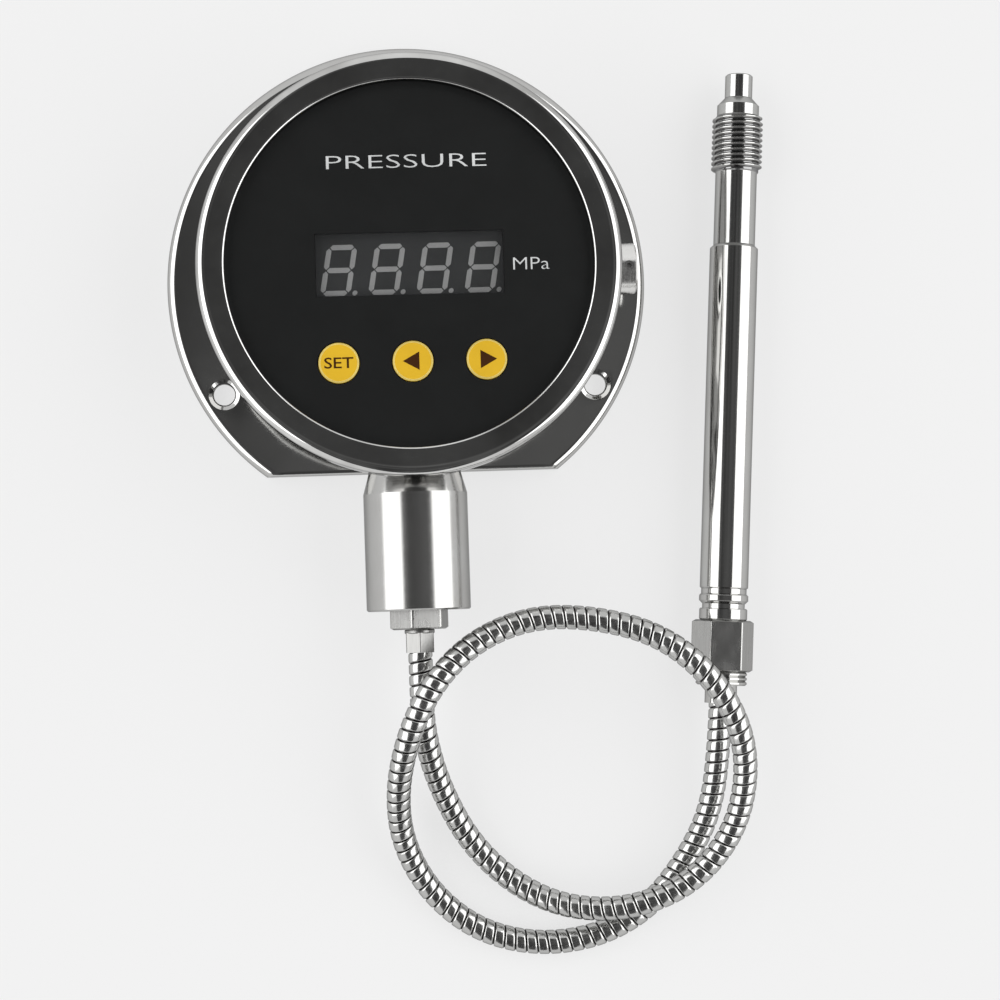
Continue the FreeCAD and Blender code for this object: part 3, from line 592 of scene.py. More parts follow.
def drawn(curve: bpy.types.Curve) -> BMesh:
    """Turn a curve or a text into its points and faces, and remove it.

    Args:
        curve: its data.

    Returns:
        The shape.
    """
    holder = bpy.data.objects.new(curve.name, curve)
    mesh = bpy.data.meshes.new_from_object(holder)
    bm = bmesh.new()
    bm.from_mesh(mesh)
    bpy.data.objects.remove(holder)
    bpy.data.curves.remove(curve)
    bpy.data.meshes.remove(mesh)
    return bm


def outline(bm: BMesh, points: Sequence[Pair], closed: bool = False) -> list[BMEdge]:
    """Draw a line of (radius, height) points, in millimetres, ready to be spun about Z.

    Args:
        bm: where it is drawn.
        points: its corners.
        closed: whether it returns to the first one.

    Returns:
        Its edges.
    """
    corners = [bm.verts.new((radius * MM, 0.0, height * MM)) for radius, height in points]
    after = corners[1:] + corners[:1] if closed else corners[1:]
    return [bm.edges.new(pair) for pair in zip(corners, after)]


def spun(bm: BMesh, parts: Sequence[BMEdge | bmesh.types.BMFace], steps: int,
         angle: float = math.tau, climb: float = 0.0) -> None:
    """Spin a line or a face about Z.

    Args:
        bm: where it is.
        parts: its edges, with its face if it has one.
        steps: how many steps it takes.
        angle: how far it turns, in radians.
        climb: how far each step rises, in metres; where it is 0, the turn is closed.
    """
    corners = list({corner for part in parts for corner in part.verts})
    bmesh.ops.spin(bm, geom=corners + list(parts), cent=(0, 0, 0), axis=UP,
                   dvec=UP * climb, angle=angle, steps=steps, use_merge=not climb)


def rounded(points: Sequence[tuple[float, ...]], segments: int = 8) -> list[Pair]:
    """A closed line with some of its corners turned into arcs.

    Args:
        points: (radius, height) of each corner, with the arc's radius third where it has one.
        segments: how many straight pieces an arc is made of.

    Returns:
        The (radius, height) points of the line.
    """
    line = []
    for i, (radius, height, *bend) in enumerate(points):
        corner = Vector((radius, height))
        if not bend:
            line.append(tuple(corner))
            continue
        before = (Vector(points[i - 1][:2]) - corner).normalized()
        after = (Vector(points[(i + 1) % len(points)][:2]) - corner).normalized()
        half = before.angle(after) / 2
        middle = corner + (before + after).normalized() * bend[0] / math.sin(half)
        start = corner + before * bend[0] / math.tan(half) - middle
        end = corner + after * bend[0] / math.tan(half) - middle
        line.append(tuple(middle + start + before * bend[0] * SUPPORT))
        line += [tuple(middle + start.slerp(end, step / segments) * bend[0])
                 for step in range(segments + 1)]
        line.append(tuple(middle + end + after * bend[0] * SUPPORT))
    return line


def thicken(bm: BMesh, thickness: float) -> None:
    """Raise flat faces into a closed layer.

    Args:
        bm: the faces, which become the layer.
        thickness: how thick it is, in millimetres.
    """
    raised = bmesh.ops.extrude_face_region(bm, geom=list(bm.faces), use_keep_orig=True)["geom"]
    corners = [part for part in raised if isinstance(part, BMVert)]
    bmesh.ops.translate(bm, vec=UP * (thickness * MM), verts=corners)


# ---- head ---------------------------------------------------------------------------------
@dataclass
class SpunBezel:
    """Bezel spun finely enough for its rolled edges to shine without facets."""

    finish: Material
    outer_r: float = 55.75
    bore_r: float = 54.55
    opening_r: float = 48.2
    sheet: float = 1.2
    crimp: float = 34.2
    crimp_r: float = 51.8
    crimp_bend: float = 0.3
    skirt_bend: float = 1.0
    panel: float = 38.6
    face: float = 41.4
    rim: float = 41.9
    edge_bend: float = 2.3
    lip_bend: float = 0.7
    steps: int = 240

    def build(self) -> None:
        """Make the bezel and put it in the solid's place."""
        sheet, lip_r = self.sheet, self.opening_r + self.sheet
        foot = self.crimp - sheet
        bm = bmesh.new()
        spun(bm, outline(bm, rounded([
            (self.crimp_r, foot, self.crimp_bend), (self.outer_r, foot, self.skirt_bend),
            (self.outer_r, self.rim, self.edge_bend), (self.opening_r, self.face, self.lip_bend),
            (self.opening_r, self.panel), (lip_r, self.panel), (lip_r, self.face - sheet),
            (self.bore_r, self.rim - sheet), (self.bore_r, self.crimp),
            (self.crimp_r, self.crimp)]), closed=True), self.steps)
        bezel = Carrier("polished_steel").settle(bm, "spun_bezel", self.finish)
        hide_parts("bezel_ring")


@dataclass
class PressedFlange:
    """Stamped flange: rolled round rim, flat lower edge and three dimpled holes."""

    finish: Material
    outer_r: float = 65.98
    flat_y: float = -52.4
    height: float = 4.2
    sheet: float = 1.3
    roll: float = 2.6
    flat_roll: float = 1.3
    inner_r: float = 46.0
    hole_pitch_r: float = 59.0
    hole_angles: tuple[float, ...] = (90.0, 210.0, 330.0)
    dimple: tuple[Pair, ...] = (
        (4.32, 0.0), (4.26, 0.01), (4.18, 0.05), (3.42, 0.56), (3.32, 0.62), (3.20, 0.65),
        (3.02, 0.66), (2.93, 0.69), (2.88, 0.79), (2.88, 1.70))
    round_steps: int = 300
    flat_steps: int = 24
    roll_steps: int = 12
    hole_steps: int = 48

    def inset(self, roll: float, height: float) -> float:
        """How far in a shoulder of that radius has come at a height."""
        rise = max(height - (self.height - roll), 0.0)
        return roll - math.sqrt(max(roll * roll - rise * rise, 0.0))

    def contour(self, bm: BMesh, height: float) -> list[BMVert]:
        """The flange's outline at one height of its rolled edge.

        Args:
            bm: where it is added.
            height: the height in millimetres.

        Returns:
            Its points in order, first the round part, then the flat one.
        """
        radius = self.outer_r - self.inset(self.roll, height)
        flat = self.flat_y + self.inset(self.flat_roll, height)
        reach = math.asin(flat / radius)
        half = math.sqrt(radius * radius - flat * flat)
        points = []
        for step in range(self.round_steps):
            angle = reach + (math.pi - 2 * reach) * step / self.round_steps
            points.append((radius * math.cos(angle), radius * math.sin(angle)))
        for step in range(self.flat_steps):
            points.append((half * (2 * step / self.flat_steps - 1), flat))
        return [bm.verts.new(Vector((*point, height)) * MM) for point in points]

    def ring(self, bm: BMesh, centre: Pair, radius: float, height: float,
             steps: int) -> list[BMVert]:
        """A circle of points, in millimetres.

        Args:
            bm: where it is added.
            centre: its middle.
            radius: its radius.
            height: its height.
            steps: how many points it has.

        Returns:
            The points in order.
        """
        turns = [math.tau * step / steps for step in range(steps)]
        return [bm.verts.new(Vector((
            centre[0] + radius * math.cos(turn), centre[1] + radius * math.sin(turn),
            height)) * MM) for turn in turns]

    def joined(self, bm: BMesh, loops: Sequence[list[BMVert]]) -> list[BMEdge]:
        """Bridge loops one to the next.

        Args:
            bm: where they are.
            loops: lists of as many points.

        Returns:
            The last loop's edges.
        """
        for low, high in zip(loops, loops[1:]):
            for i, corner in enumerate(low):
                after = (i + 1) % len(low)
                bm.faces.new((corner, low[after], high[after], high[i]))
        last = loops[-1]
        return [bm.edges.get(pair) or bm.edges.new(pair)
                for pair in zip(last, last[1:] + last[:1])]

    def build(self) -> None:
        """Make the flange and put it in the solid's place."""
        bm = bmesh.new()
        base = self.height - self.roll
        bends = [math.pi / 2 * step / self.roll_steps for step in range(self.roll_steps + 1)]
        loops = [self.contour(bm, 0.0)]
        loops += [self.contour(bm, base + self.roll * math.sin(bend)) for bend in bends]
        rims = self.joined(bm, loops)
        for angle in self.hole_angles:
            turn = math.radians(angle)
            centre = (self.hole_pitch_r * math.cos(turn), self.hole_pitch_r * math.sin(turn))
            rims += self.joined(bm, [
                self.ring(bm, centre, radius, self.height - drop, self.hole_steps)
                for radius, drop in reversed(self.dimple)])
        inner = self.ring(bm, (0.0, 0.0), self.inner_r, self.height, self.round_steps)
        rims += self.joined(bm, [inner])
        bmesh.ops.triangle_fill(bm, edges=rims, use_beauty=True, normal=UP)
        bmesh.ops.recalc_face_normals(bm, faces=bm.faces)
        if max(bm.faces, key=lambda face: face.calc_area()).normal.z < 0:
            bmesh.ops.reverse_faces(bm, faces=bm.faces)
        bmesh.ops.solidify(bm, geom=list(bm.faces), thickness=self.sheet * MM)
        flange = Carrier("polished_steel").settle(bm, "pressed_flange", self.finish)
        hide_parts("rear_flange")


@dataclass
class HexBar:
    """A piece of hexagonal bar with softened corners, its bore and a turned ring beside it."""

    finish: Material
    name: str
    node: str
    lie: Lie
    flats: float
    start: float
    end: float
    bore: float
    ring: tuple[float, ...] = ()        # its radius, start and end
    ring_bend: float = 0.3
    ring_arc: int = 3
    ring_steps: int = 64
    clock: float = 0.0
    corner: float = 0.7
    turned_start: bool = True
    turned_end: bool = True
    arc: int = 5
    support: float = 0.3
    near: float = 0.001                 # what counts as one radius
    relief: float = 0.01                # from the flats in to the ends' circle

    def rim(self) -> list[Pair]:
        """The hexagon's outline.

        Returns:
            Its points as (radius in mm, angle), one sixth after another.
        """
        half = self.flats / 2
        middle = (half - self.corner) / math.cos(math.pi / 6)
        sixth = []
        for step in range(self.arc + 1):
            angle = math.pi / 3 * (step / self.arc - 0.5)
            sixth.append(Vector((middle + self.corner * math.cos(angle),
                                 self.corner * math.sin(angle))))
        along = Vector((-math.sin(math.pi / 6), math.cos(math.pi / 6))) * self.support
        sixth = [sixth[0] + Vector((along.x, -along.y)), *sixth, sixth[-1] + along]
        turn = math.radians(self.clock)
        return [(point.length, math.atan2(point.y, point.x) + turn + math.pi / 3 * side)
                for side in range(6) for point in sixth]

    def shape(self, bm: BMesh) -> None:
        """Spin a plain bar, then bring its outside in to the hexagon.

        Args:
            bm: an empty bmesh, where it is added.
        """
        rim = self.rim()
        widest = max(radius for radius, _ in rim)
        half = self.flats / 2
        spun(bm, outline(bm, [
            (self.bore, self.start), (half, self.start), (widest, self.start),
            (widest, self.end), (half, self.end), (self.bore, self.end)], closed=True),
            len(rim))
        slope = math.tan(math.pi / 6)
        for corner in bm.verts:
            place = round(math.atan2(corner.co.y, corner.co.x) / math.tau * len(rim))
            radius, angle = rim[place % len(rim)]
            reach = corner.co.xy.length / MM
            low = corner.co.z / MM < (self.start + self.end) / 2
            if reach > half + self.near:
                reach = radius
                drop = max(radius - half, 0.0) * slope
                if low and self.turned_start:
                    corner.co.z = (self.start + drop) * MM
                elif not low and self.turned_end:
                    corner.co.z = (self.end - drop) * MM
            elif reach > self.bore + self.near:
                reach = half - self.relief
            corner.co.x = reach * math.cos(angle) * MM
            corner.co.y = reach * math.sin(angle) * MM

    def build(self) -> None:
        """Make the piece and put it in its solid's place."""
        bm = bmesh.new()
        self.shape(bm)
        if self.ring:
            radius, start, end = self.ring
            spun(bm, outline(bm, rounded([
                (self.bore, start), (radius, start, self.ring_bend),
                (radius, end, self.ring_bend), (self.bore, end)], self.ring_arc),
                closed=True), self.ring_steps)
        piece = Carrier("turned_steel").settle(bm, self.name, self.finish, self.lie)
        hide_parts(self.node)


@dataclass
class KeyRims:
    """The raised edge of each key, riding on it, in a paler yellow that is a painted highlight.
    """

    finish: Material
    outer_r: float = 5.28
    inner_r: float = 4.78
    crown: float = 0.1
    drop: float = 0.43
    foot: float = 0.2
    lift: float = 0.02
    steps: int = 72

    def build(self) -> None:
        """Make the three rims."""
        low, high = KEY_TOP - self.drop, KEY_TOP + self.lift
        for key in Key:
            bm = bmesh.new()
            spun(bm, outline(bm, [
                (self.inner_r, KEY_TOP), (self.inner_r, high), (self.inner_r + self.crown, high),
                (self.outer_r, low), (self.outer_r, low - self.foot)], closed=True), self.steps)
            bmesh.ops.translate(bm, vec=(key.value * MM, KEY_ROW * MM, 0.0), verts=bm.verts)
            key.carrier.settle(bm, key.named("rim"), self.finish)


# ---- hose ---------------------------------------------------------------------------------
@dataclass
class ArmouredHose:
    """Stripwound steel hose from the neck's ferrule to the probe's, wound as a real helix."""

    CREST = "crest"

    finish: Material
    diameter: float = 6.5
    groove_r: float = 2.72
    groove_share: float = 0.06
    strip: tuple[Pair, ...] = (         # below the crown in mm, share of the pitch
        (0.30, 0.07), (0.12, 0.10), (0.03, 0.15), (0.0, 0.22), (0.0, 0.76), (0.03, 0.83),
        (0.12, 0.90), (0.32, 0.96))
    pitch: float = 3.0
    around: int = 24
    samples: int = 20
    weld: float = 0.002
    sliver: float = 0.001
    sharp: float = 38.0
    start: Point = (0.0, -101.7, 17.0)
    end_run: float = 10.0
    route: tuple[Point, ...] = (        # in metres, between the two straight ends
        (0.0003, -0.1232, 0.0141), (0.0042, -0.1382, 0.0078), (0.0125, -0.1546, 0.0036),
        (0.0251, -0.1666, 0.0044), (0.0392, -0.1726, 0.0080), (0.0559, -0.1727, 0.0115),
        (0.0722, -0.1662, 0.0120), (0.0834, -0.1532, 0.0140), (0.0871, -0.1371, 0.0182),
        (0.0844, -0.1224, 0.0228), (0.0760, -0.1090, 0.0250), (0.0633, -0.0987, 0.0236),
        (0.0463, -0.0938, 0.0218), (0.0297, -0.0932, 0.0216), (0.0144, -0.0989, 0.0230),
        (0.0030, -0.1096, 0.0244), (-0.0041, -0.1235, 0.0222), (-0.0075, -0.1389, 0.0146),
        (-0.0061, -0.1535, 0.0074), (0.0012, -0.1675, 0.0034), (0.0136, -0.1779, 0.0033),
        (0.0295, -0.1824, 0.0033), (0.0462, -0.1809, 0.0033), (0.0603, -0.1739, 0.0033),
        (0.0713, -0.1614, 0.0034), (0.0788, -0.1473, 0.0046))

    def controls(self) -> list[Vector]:
        """The points that steer the hose, from ferrule to ferrule.

        Returns:
            The points, in metres.
        """
        start, end = Vector(self.start) * MM, Lie.PROBE.place
        lean = Lie.PROBE.matrix().to_3x3() @ UP
        run = self.end_run * MM
        return [start, start - Vector((0.0, run, 0.0)), *map(Vector, self.route),
                end - lean * run, end]

    def centreline(self) -> list[Vector]:
        """The smooth line of the route, read from its NURBS spline.

        Returns:
            Points close together along the line, in metres.
        """
        curve = bpy.data.curves.new("hose_route", "CURVE")
        curve.dimensions = "3D"
        spline = curve.splines.new("NURBS")
        controls = self.controls()
        spline.points.add(len(controls) - 1)
        for control, point in zip(spline.points, controls):
            control.co = (*point, 1.0)
        spline.order_u = 3
        spline.use_endpoint_u = True
        spline.resolution_u = self.samples
        line = drawn(curve)
        points = [corner.co.copy() for corner in line.verts]
        line.free()
        return points

    def profile(self) -> list[Pair]:
        """One turn of the strip: (radius in mm, share of the pitch), seam to seam."""
        crown = self.diameter / 2
        return [(self.groove_r, 0.0), (self.groove_r, self.groove_share),
                *((crown - drop, share) for drop, share in self.strip), (self.groove_r, 1.0)]

    def straight(self, length: float) -> BMesh:
        """The winding before it is bent, along Z.

        Args:
            length: the hose's length in metres.

        Returns:
            The closed winding, with how near each point is to the crown as a float layer.
        """
        turns = round(length / (self.pitch * MM))
        pitch = length / turns / MM
        bm = bmesh.new()
        edges = outline(bm, [(radius, (share - 1) * pitch) for radius, share in self.profile()])
        spun(bm, edges, self.around, climb=pitch * MM / self.around)
        made = 1
        while made < turns + 1:
            whole = list(bm.verts) + list(bm.edges) + list(bm.faces)
            copy = bmesh.ops.duplicate(bm, geom=whole)["geom"]
            bmesh.ops.translate(bm, vec=UP * (made * pitch * MM), verts=[
                part for part in copy if isinstance(part, BMVert)])
            made *= 2
        beyond = [face for face in bm.faces
                  if min(corner.co.z for corner in face.verts) > length]
        bmesh.ops.delete(bm, geom=beyond, context="FACES")
        # The crest layer darkens the seams in the armour's material, as painted shade.
        crest = bm.verts.layers.float.new(self.CREST)
        depth = self.diameter / 2 - self.groove_r
        for corner in bm.verts:
            corner.co.z = min(max(corner.co.z, 0.0), length)
            corner[crest] = (corner.co.xy.length / MM - self.groove_r) / depth
        bmesh.ops.remove_doubles(bm, verts=bm.verts, dist=self.weld * MM)
        bmesh.ops.dissolve_degenerate(bm, edges=bm.edges, dist=self.sliver * MM)
        rims = [edge for edge in bm.edges if edge.is_boundary]
        bmesh.ops.holes_fill(bm, edges=rims, sides=0)
        return bm

    def bent(self, bm: BMesh, path: Sequence[Vector]) -> None:
        """Bend a straight winding along a line, without twisting it.

        Args:
            bm: the winding along Z.
            path: the line's points.
        """
        runs = [(b - a).length for a, b in zip(path, path[1:])]
        reached = [0.0, *accumulate(runs)]
        tangents = [(path[min(i + 1, len(path) - 1)] - path[max(i - 1, 0)]).normalized()
                    for i in range(len(path))]
        sides = [tangents[0].cross(UP).normalized()]
        for before, after in zip(tangents, tangents[1:]):
            turned = before.rotation_difference(after) @ sides[-1]
            sides.append((turned - after * turned.dot(after)).normalized())
        at = 0
        for corner in sorted(bm.verts, key=lambda corner: corner.co.z):
            run = corner.co.z
            while at < len(runs) - 1 and reached[at + 1] < run:
                at += 1
            share = (run - reached[at]) / runs[at]
            tangent = tangents[at].lerp(tangents[at + 1], share).normalized()
            side = sides[at].lerp(sides[at + 1], share)
            side = (side - tangent * side.dot(tangent)).normalized()
            middle = path[at].lerp(path[at + 1], share)
            corner.co = middle + side * corner.co.x + tangent.cross(side) * corner.co.y

    def build(self) -> None:
        path = self.centreline()
        length = sum((b - a).length for a, b in zip(path, path[1:]))
        bm = self.straight(length)
        self.bent(bm, path)
        hose = Carrier("hose_steel").settle(bm, "hose_armour", self.finish, sharp=self.sharp)
        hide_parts("armored_hose")
        tuple(path[0])
        log.info("hose length %.4f m in %d points", length, len(path))


# ---- probe --------------------------------------------------------------------------------
@dataclass
class ThreadedTip:
    """Turned tip of the probe with its cut thread; heights run from the probe's hose end."""

    CREST = "thread_crest"

    finish: Material
    insert_r: float = 4.85
    insert_from: float = 114.3
    shank_r: float = 5.75
    shank_from: float = 126.3
    thread_from: float = 146.5
    root_r: float = 6.1
    crest_r: float = 7.0
    pitch: float = 1.5
    thread_to: float = 162.4
    land_r: float = 5.8
    cone_from: float = 165.5
    nose_from: float = 167.5
    nose_r: float = 3.8
    tip: float = 174.0
    edge: float = 0.35
    bore_r: float = 0.8
    diaphragm_r: float = 3.2
    diaphragm_t: float = 0.3
    sunk: float = 0.15
    inset: float = 0.35
    run_out: float = 0.2
    root_bend: float = 0.06
    crest_bend: float = 0.10
    flank: tuple[float, ...] = (0.97, 0.80, 0.28, 0.16)     # foot to crest, of half the pitch
    steps: int = 96

    def core(self, bm: BMesh) -> None:
        """Spin the tip with the thread's root diameter.

        Args:
            bm: where it is added.
        """
        edge = self.edge
        seat = self.tip - self.diaphragm_t
        spun(bm, outline(bm, [
            (self.bore_r, self.insert_from), (self.insert_r, self.insert_from),
            (self.insert_r, self.shank_from), (self.shank_r, self.shank_from),
            (self.shank_r, self.thread_from), (self.root_r, self.thread_from + edge),
            (self.root_r, self.thread_to - edge), (self.land_r, self.thread_to),
            (self.land_r, self.cone_from - edge / 2), (self.land_r - edge / 2, self.cone_from),
            (self.nose_r, self.nose_from), (self.nose_r, self.tip - edge),
            (self.nose_r - edge, self.tip), (self.diaphragm_r, self.tip),
            (self.diaphragm_r, seat), (self.bore_r, seat)], closed=True), self.steps)

    def ridge(self, bm: BMesh) -> None:
        """Wind the thread's ridge round the core, fading into it at both ends.

        Args:
            bm: the core, which the ridge is added to.
        """
        half = self.pitch / 2
        low = self.root_r - self.sunk
        radii = (low, self.root_r + self.root_bend, self.crest_r - self.crest_bend, self.crest_r)
        rising = [(radius, -half * share) for radius, share in zip(radii, self.flank)]
        section = rising + [(radius, -height) for radius, height in reversed(rising)]
        first = self.thread_from + self.inset
        turns = (self.thread_to - self.thread_from - 2 * self.inset) / self.pitch
        before = set(bm.verts)
        edges = outline(bm, [(radius, first + height) for radius, height in section],
                        closed=True)
        per_turn = self.steps // 2
        steps = round(turns * per_turn)
        face = bmesh.ops.contextual_create(bm, geom=edges)["faces"]
        spun(bm, face + edges, steps, math.tau * steps / per_turn, self.pitch * MM / per_turn)
        for corner in set(bm.verts) - before:
            share = math.atan2(corner.co.y, corner.co.x) / math.tau
            climb = (corner.co.z / MM - first) / self.pitch
            reached = round(climb - share) + share
            grown = min(reached, turns - reached) / self.run_out
            radius = corner.co.xy.length / MM
            kept = low - self.sunk + (radius - low + self.sunk) * min(max(grown, 0.0), 1.0)
            corner.co.xy *= kept / radius

    def build(self) -> None:
        """Make the tip and put it in its blank's place."""
        bm = bmesh.new()
        self.core(bm)
        self.ridge(bm)
        # The crest layer darkens the thread's roots in its material, as painted shade.
        crest = bm.verts.layers.float.new(self.CREST)
        start, end = self.thread_from + self.edge / 2, self.thread_to - self.edge / 2
        for corner in bm.verts:
            rise = (corner.co.xy.length / MM - self.root_r) / (self.crest_r - self.root_r)
            corner[crest] = rise if start < corner.co.z / MM < end else 1.0
        tip = Carrier("turned_steel").settle(bm, "threaded_tip", self.finish, Lie.PROBE)
        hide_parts("probe_tip")


# ---- face ---------------------------------------------------------------------------------
@dataclass
class Lettering:
    """A generic word printed on a flat face, as a thin layer of ink."""

    name: str
    words: str
    carrier: Carrier
    finish: Material
    centre: Pair
    level: float
    height: float
    width: float
    weight: float = -0.012
    curve_steps: int = 3
    weld: float = 1e-5                  # in the font's own units
    thickness: float = 0.03
    lift: float = 0.005

    def build(self) -> None:
        """Make the word."""
        text = bpy.data.curves.new(self.name, "FONT")
        text.body = self.words
        text.resolution_u = self.curve_steps
        text.offset = self.weight
        bm = drawn(text)
        bmesh.ops.remove_doubles(bm, verts=bm.verts, dist=self.weld)
        xs = [corner.co.x for corner in bm.verts]
        ys = [corner.co.y for corner in bm.verts]
        middle = Vector(((min(xs) + max(xs)) / 2, (min(ys) + max(ys)) / 2, 0.0))
        bmesh.ops.translate(bm, vec=-middle, verts=bm.verts)
        scale = (self.width / (max(xs) - min(xs)) * MM, self.height / (max(ys) - min(ys)) * MM)
        bmesh.ops.scale(bm, vec=(*scale, 1.0), verts=bm.verts)
        bmesh.ops.translate(bm, verts=bm.verts, vec=Vector(
            (*self.centre, self.level + self.lift)) * MM)
        thicken(bm, self.thickness)
        self.carrier.settle(bm, self.name, self.finish)


@dataclass
class DisplayDigits:
    """Four seven-segment digits with decimal points, unlit, on the display's face."""

    finish: Material
    centres: tuple[float, ...] = (-18.6, -6.0, 6.6, 19.2)
    row: float = -1.0
    height: float = 13.4
    width: float = 8.0
    bar: float = 1.35
    gap: float = 0.40
    slant: float = 10.0
    point_r: float = 0.65
    point_shift: float = 1.7            # beyond the digit's width, in the point's radii
    point_steps: int = 20
    level: float = 36.5
    thickness: float = 0.05

    def segment(self, bm: BMesh, centre: Pair, length: float, upright: bool) -> None:
        """Add one flat bar with pointed ends, in millimetres.

        Args:
            bm: where it is added.
            centre: its middle.
            length: from point to point.
            upright: whether it stands instead of lying.
        """
        half, bar = length / 2, self.bar / 2
        corners = [(-half, 0), (bar - half, -bar), (half - bar, -bar), (half, 0),
                   (half - bar, bar), (bar - half, bar)]
        if upright:
            corners = [(-y, x) for x, y in corners]
        bm.faces.new([bm.verts.new((centre[0] + x, centre[1] + y, 0.0)) for x, y in corners])

    def digit(self, centre: float) -> BMesh:
        """One digit with its point, slanted and in its place.

        Args:
            centre: the place of its middle along X, in millimetres.

        Returns:
            Its flat faces, in metres.
        """
        bm = bmesh.new()
        across = (self.width - self.bar) / 2
        half = (self.height - self.bar) / 2
        for level in (-half, 0.0, half):
            self.segment(bm, (0.0, level), 2 * across - self.gap, False)
        for side in (-across, across):
            for level in (-half / 2, half / 2):
                self.segment(bm, (side, level), half - self.gap, True)
        dot = bmesh.ops.create_circle(bm, cap_ends=True, segments=self.point_steps,
                                      radius=self.point_r)
        bmesh.ops.translate(bm, verts=dot["verts"], vec=(
            self.width / 2 + self.point_r * self.point_shift,
            -self.height / 2 + self.point_r, 0.0))
        lean = Matrix(((1, math.tan(math.radians(self.slant)), 0, centre), (0, 1, 0, self.row),
                       (0, 0, 1, self.level), (0, 0, 0, 1)))
        bmesh.ops.transform(bm, matrix=Matrix.Scale(MM, 4) @ lean, verts=bm.verts)
        return bm

    def build(self) -> None:
        """Make all the digits as one piece."""
        whole = bpy.data.meshes.new("digits")
        bm = bmesh.new()
        for centre in self.centres:
            digit = self.digit(centre)
            digit.to_mesh(whole)
            digit.free()
            bm.from_mesh(whole)
        bpy.data.meshes.remove(whole)
        thicken(bm, self.thickness)
        Carrier("display_body").settle(bm, "display_segments", self.finish)


@dataclass
class KeyLegends:
    """The printed legends of the three keys, each riding on its own key."""

    finish: Material
    word_size: Pair = (2.9, 7.6)
    word_weight: float = 0.008
    arrow_width: float = 4.3
    arrow_height: float = 4.8
    arrow_shift: float = 0.5
    thickness: float = 0.03
    lift: float = 0.005

    def arrow(self, key: Key, way: int) -> None:
        """Make one arrow head.

        Args:
            key: the key that it is printed on.
            way: 1 to point to the right, -1 to the left.
        """
        bm = bmesh.new()
        middle = key.value + way * self.arrow_shift
        tip, base = middle + way * self.arrow_width / 2, middle - way * self.arrow_width / 2
        half = self.arrow_height / 2
        level = KEY_TOP + self.lift
        bm.faces.new([bm.verts.new(Vector(corner) * MM) for corner in (
            (tip, KEY_ROW, level), (base, KEY_ROW + half, level),
            (base, KEY_ROW - half, level))])
        thicken(bm, self.thickness)
        key.carrier.settle(bm, key.named("legend"), self.finish)

    def build(self) -> None:
        """Make the three legends."""
        key = Key.SET
        Lettering(key.named("legend"), key.name, key.carrier, self.finish,
                  (key.value, KEY_ROW), KEY_TOP, *self.word_size,
                  weight=self.word_weight).build()
        self.arrow(Key.LEFT, -1)
        self.arrow(Key.RIGHT, 1)


@dataclass
class FacePrinting:
    """The white printing on the front panel: the unit and a generic heading."""

    finish: Material
    level: float = 38.6
    words: tuple[tuple[str, str, Pair, Pair], ...] = (      # with their centres and sizes
        ("heading", "PRESSURE", (-0.1, 27.1), (3.5, 42.0)),
        ("unit_mark", "MPa", (31.8, -0.66), (3.2, 9.5)))

    def build(self) -> None:
        """Make the heading and the unit."""
        for name, words, centre, size in self.words:
            Lettering(name, words, Carrier("black_panel"), self.finish, centre, self.level,
                      *size).build()


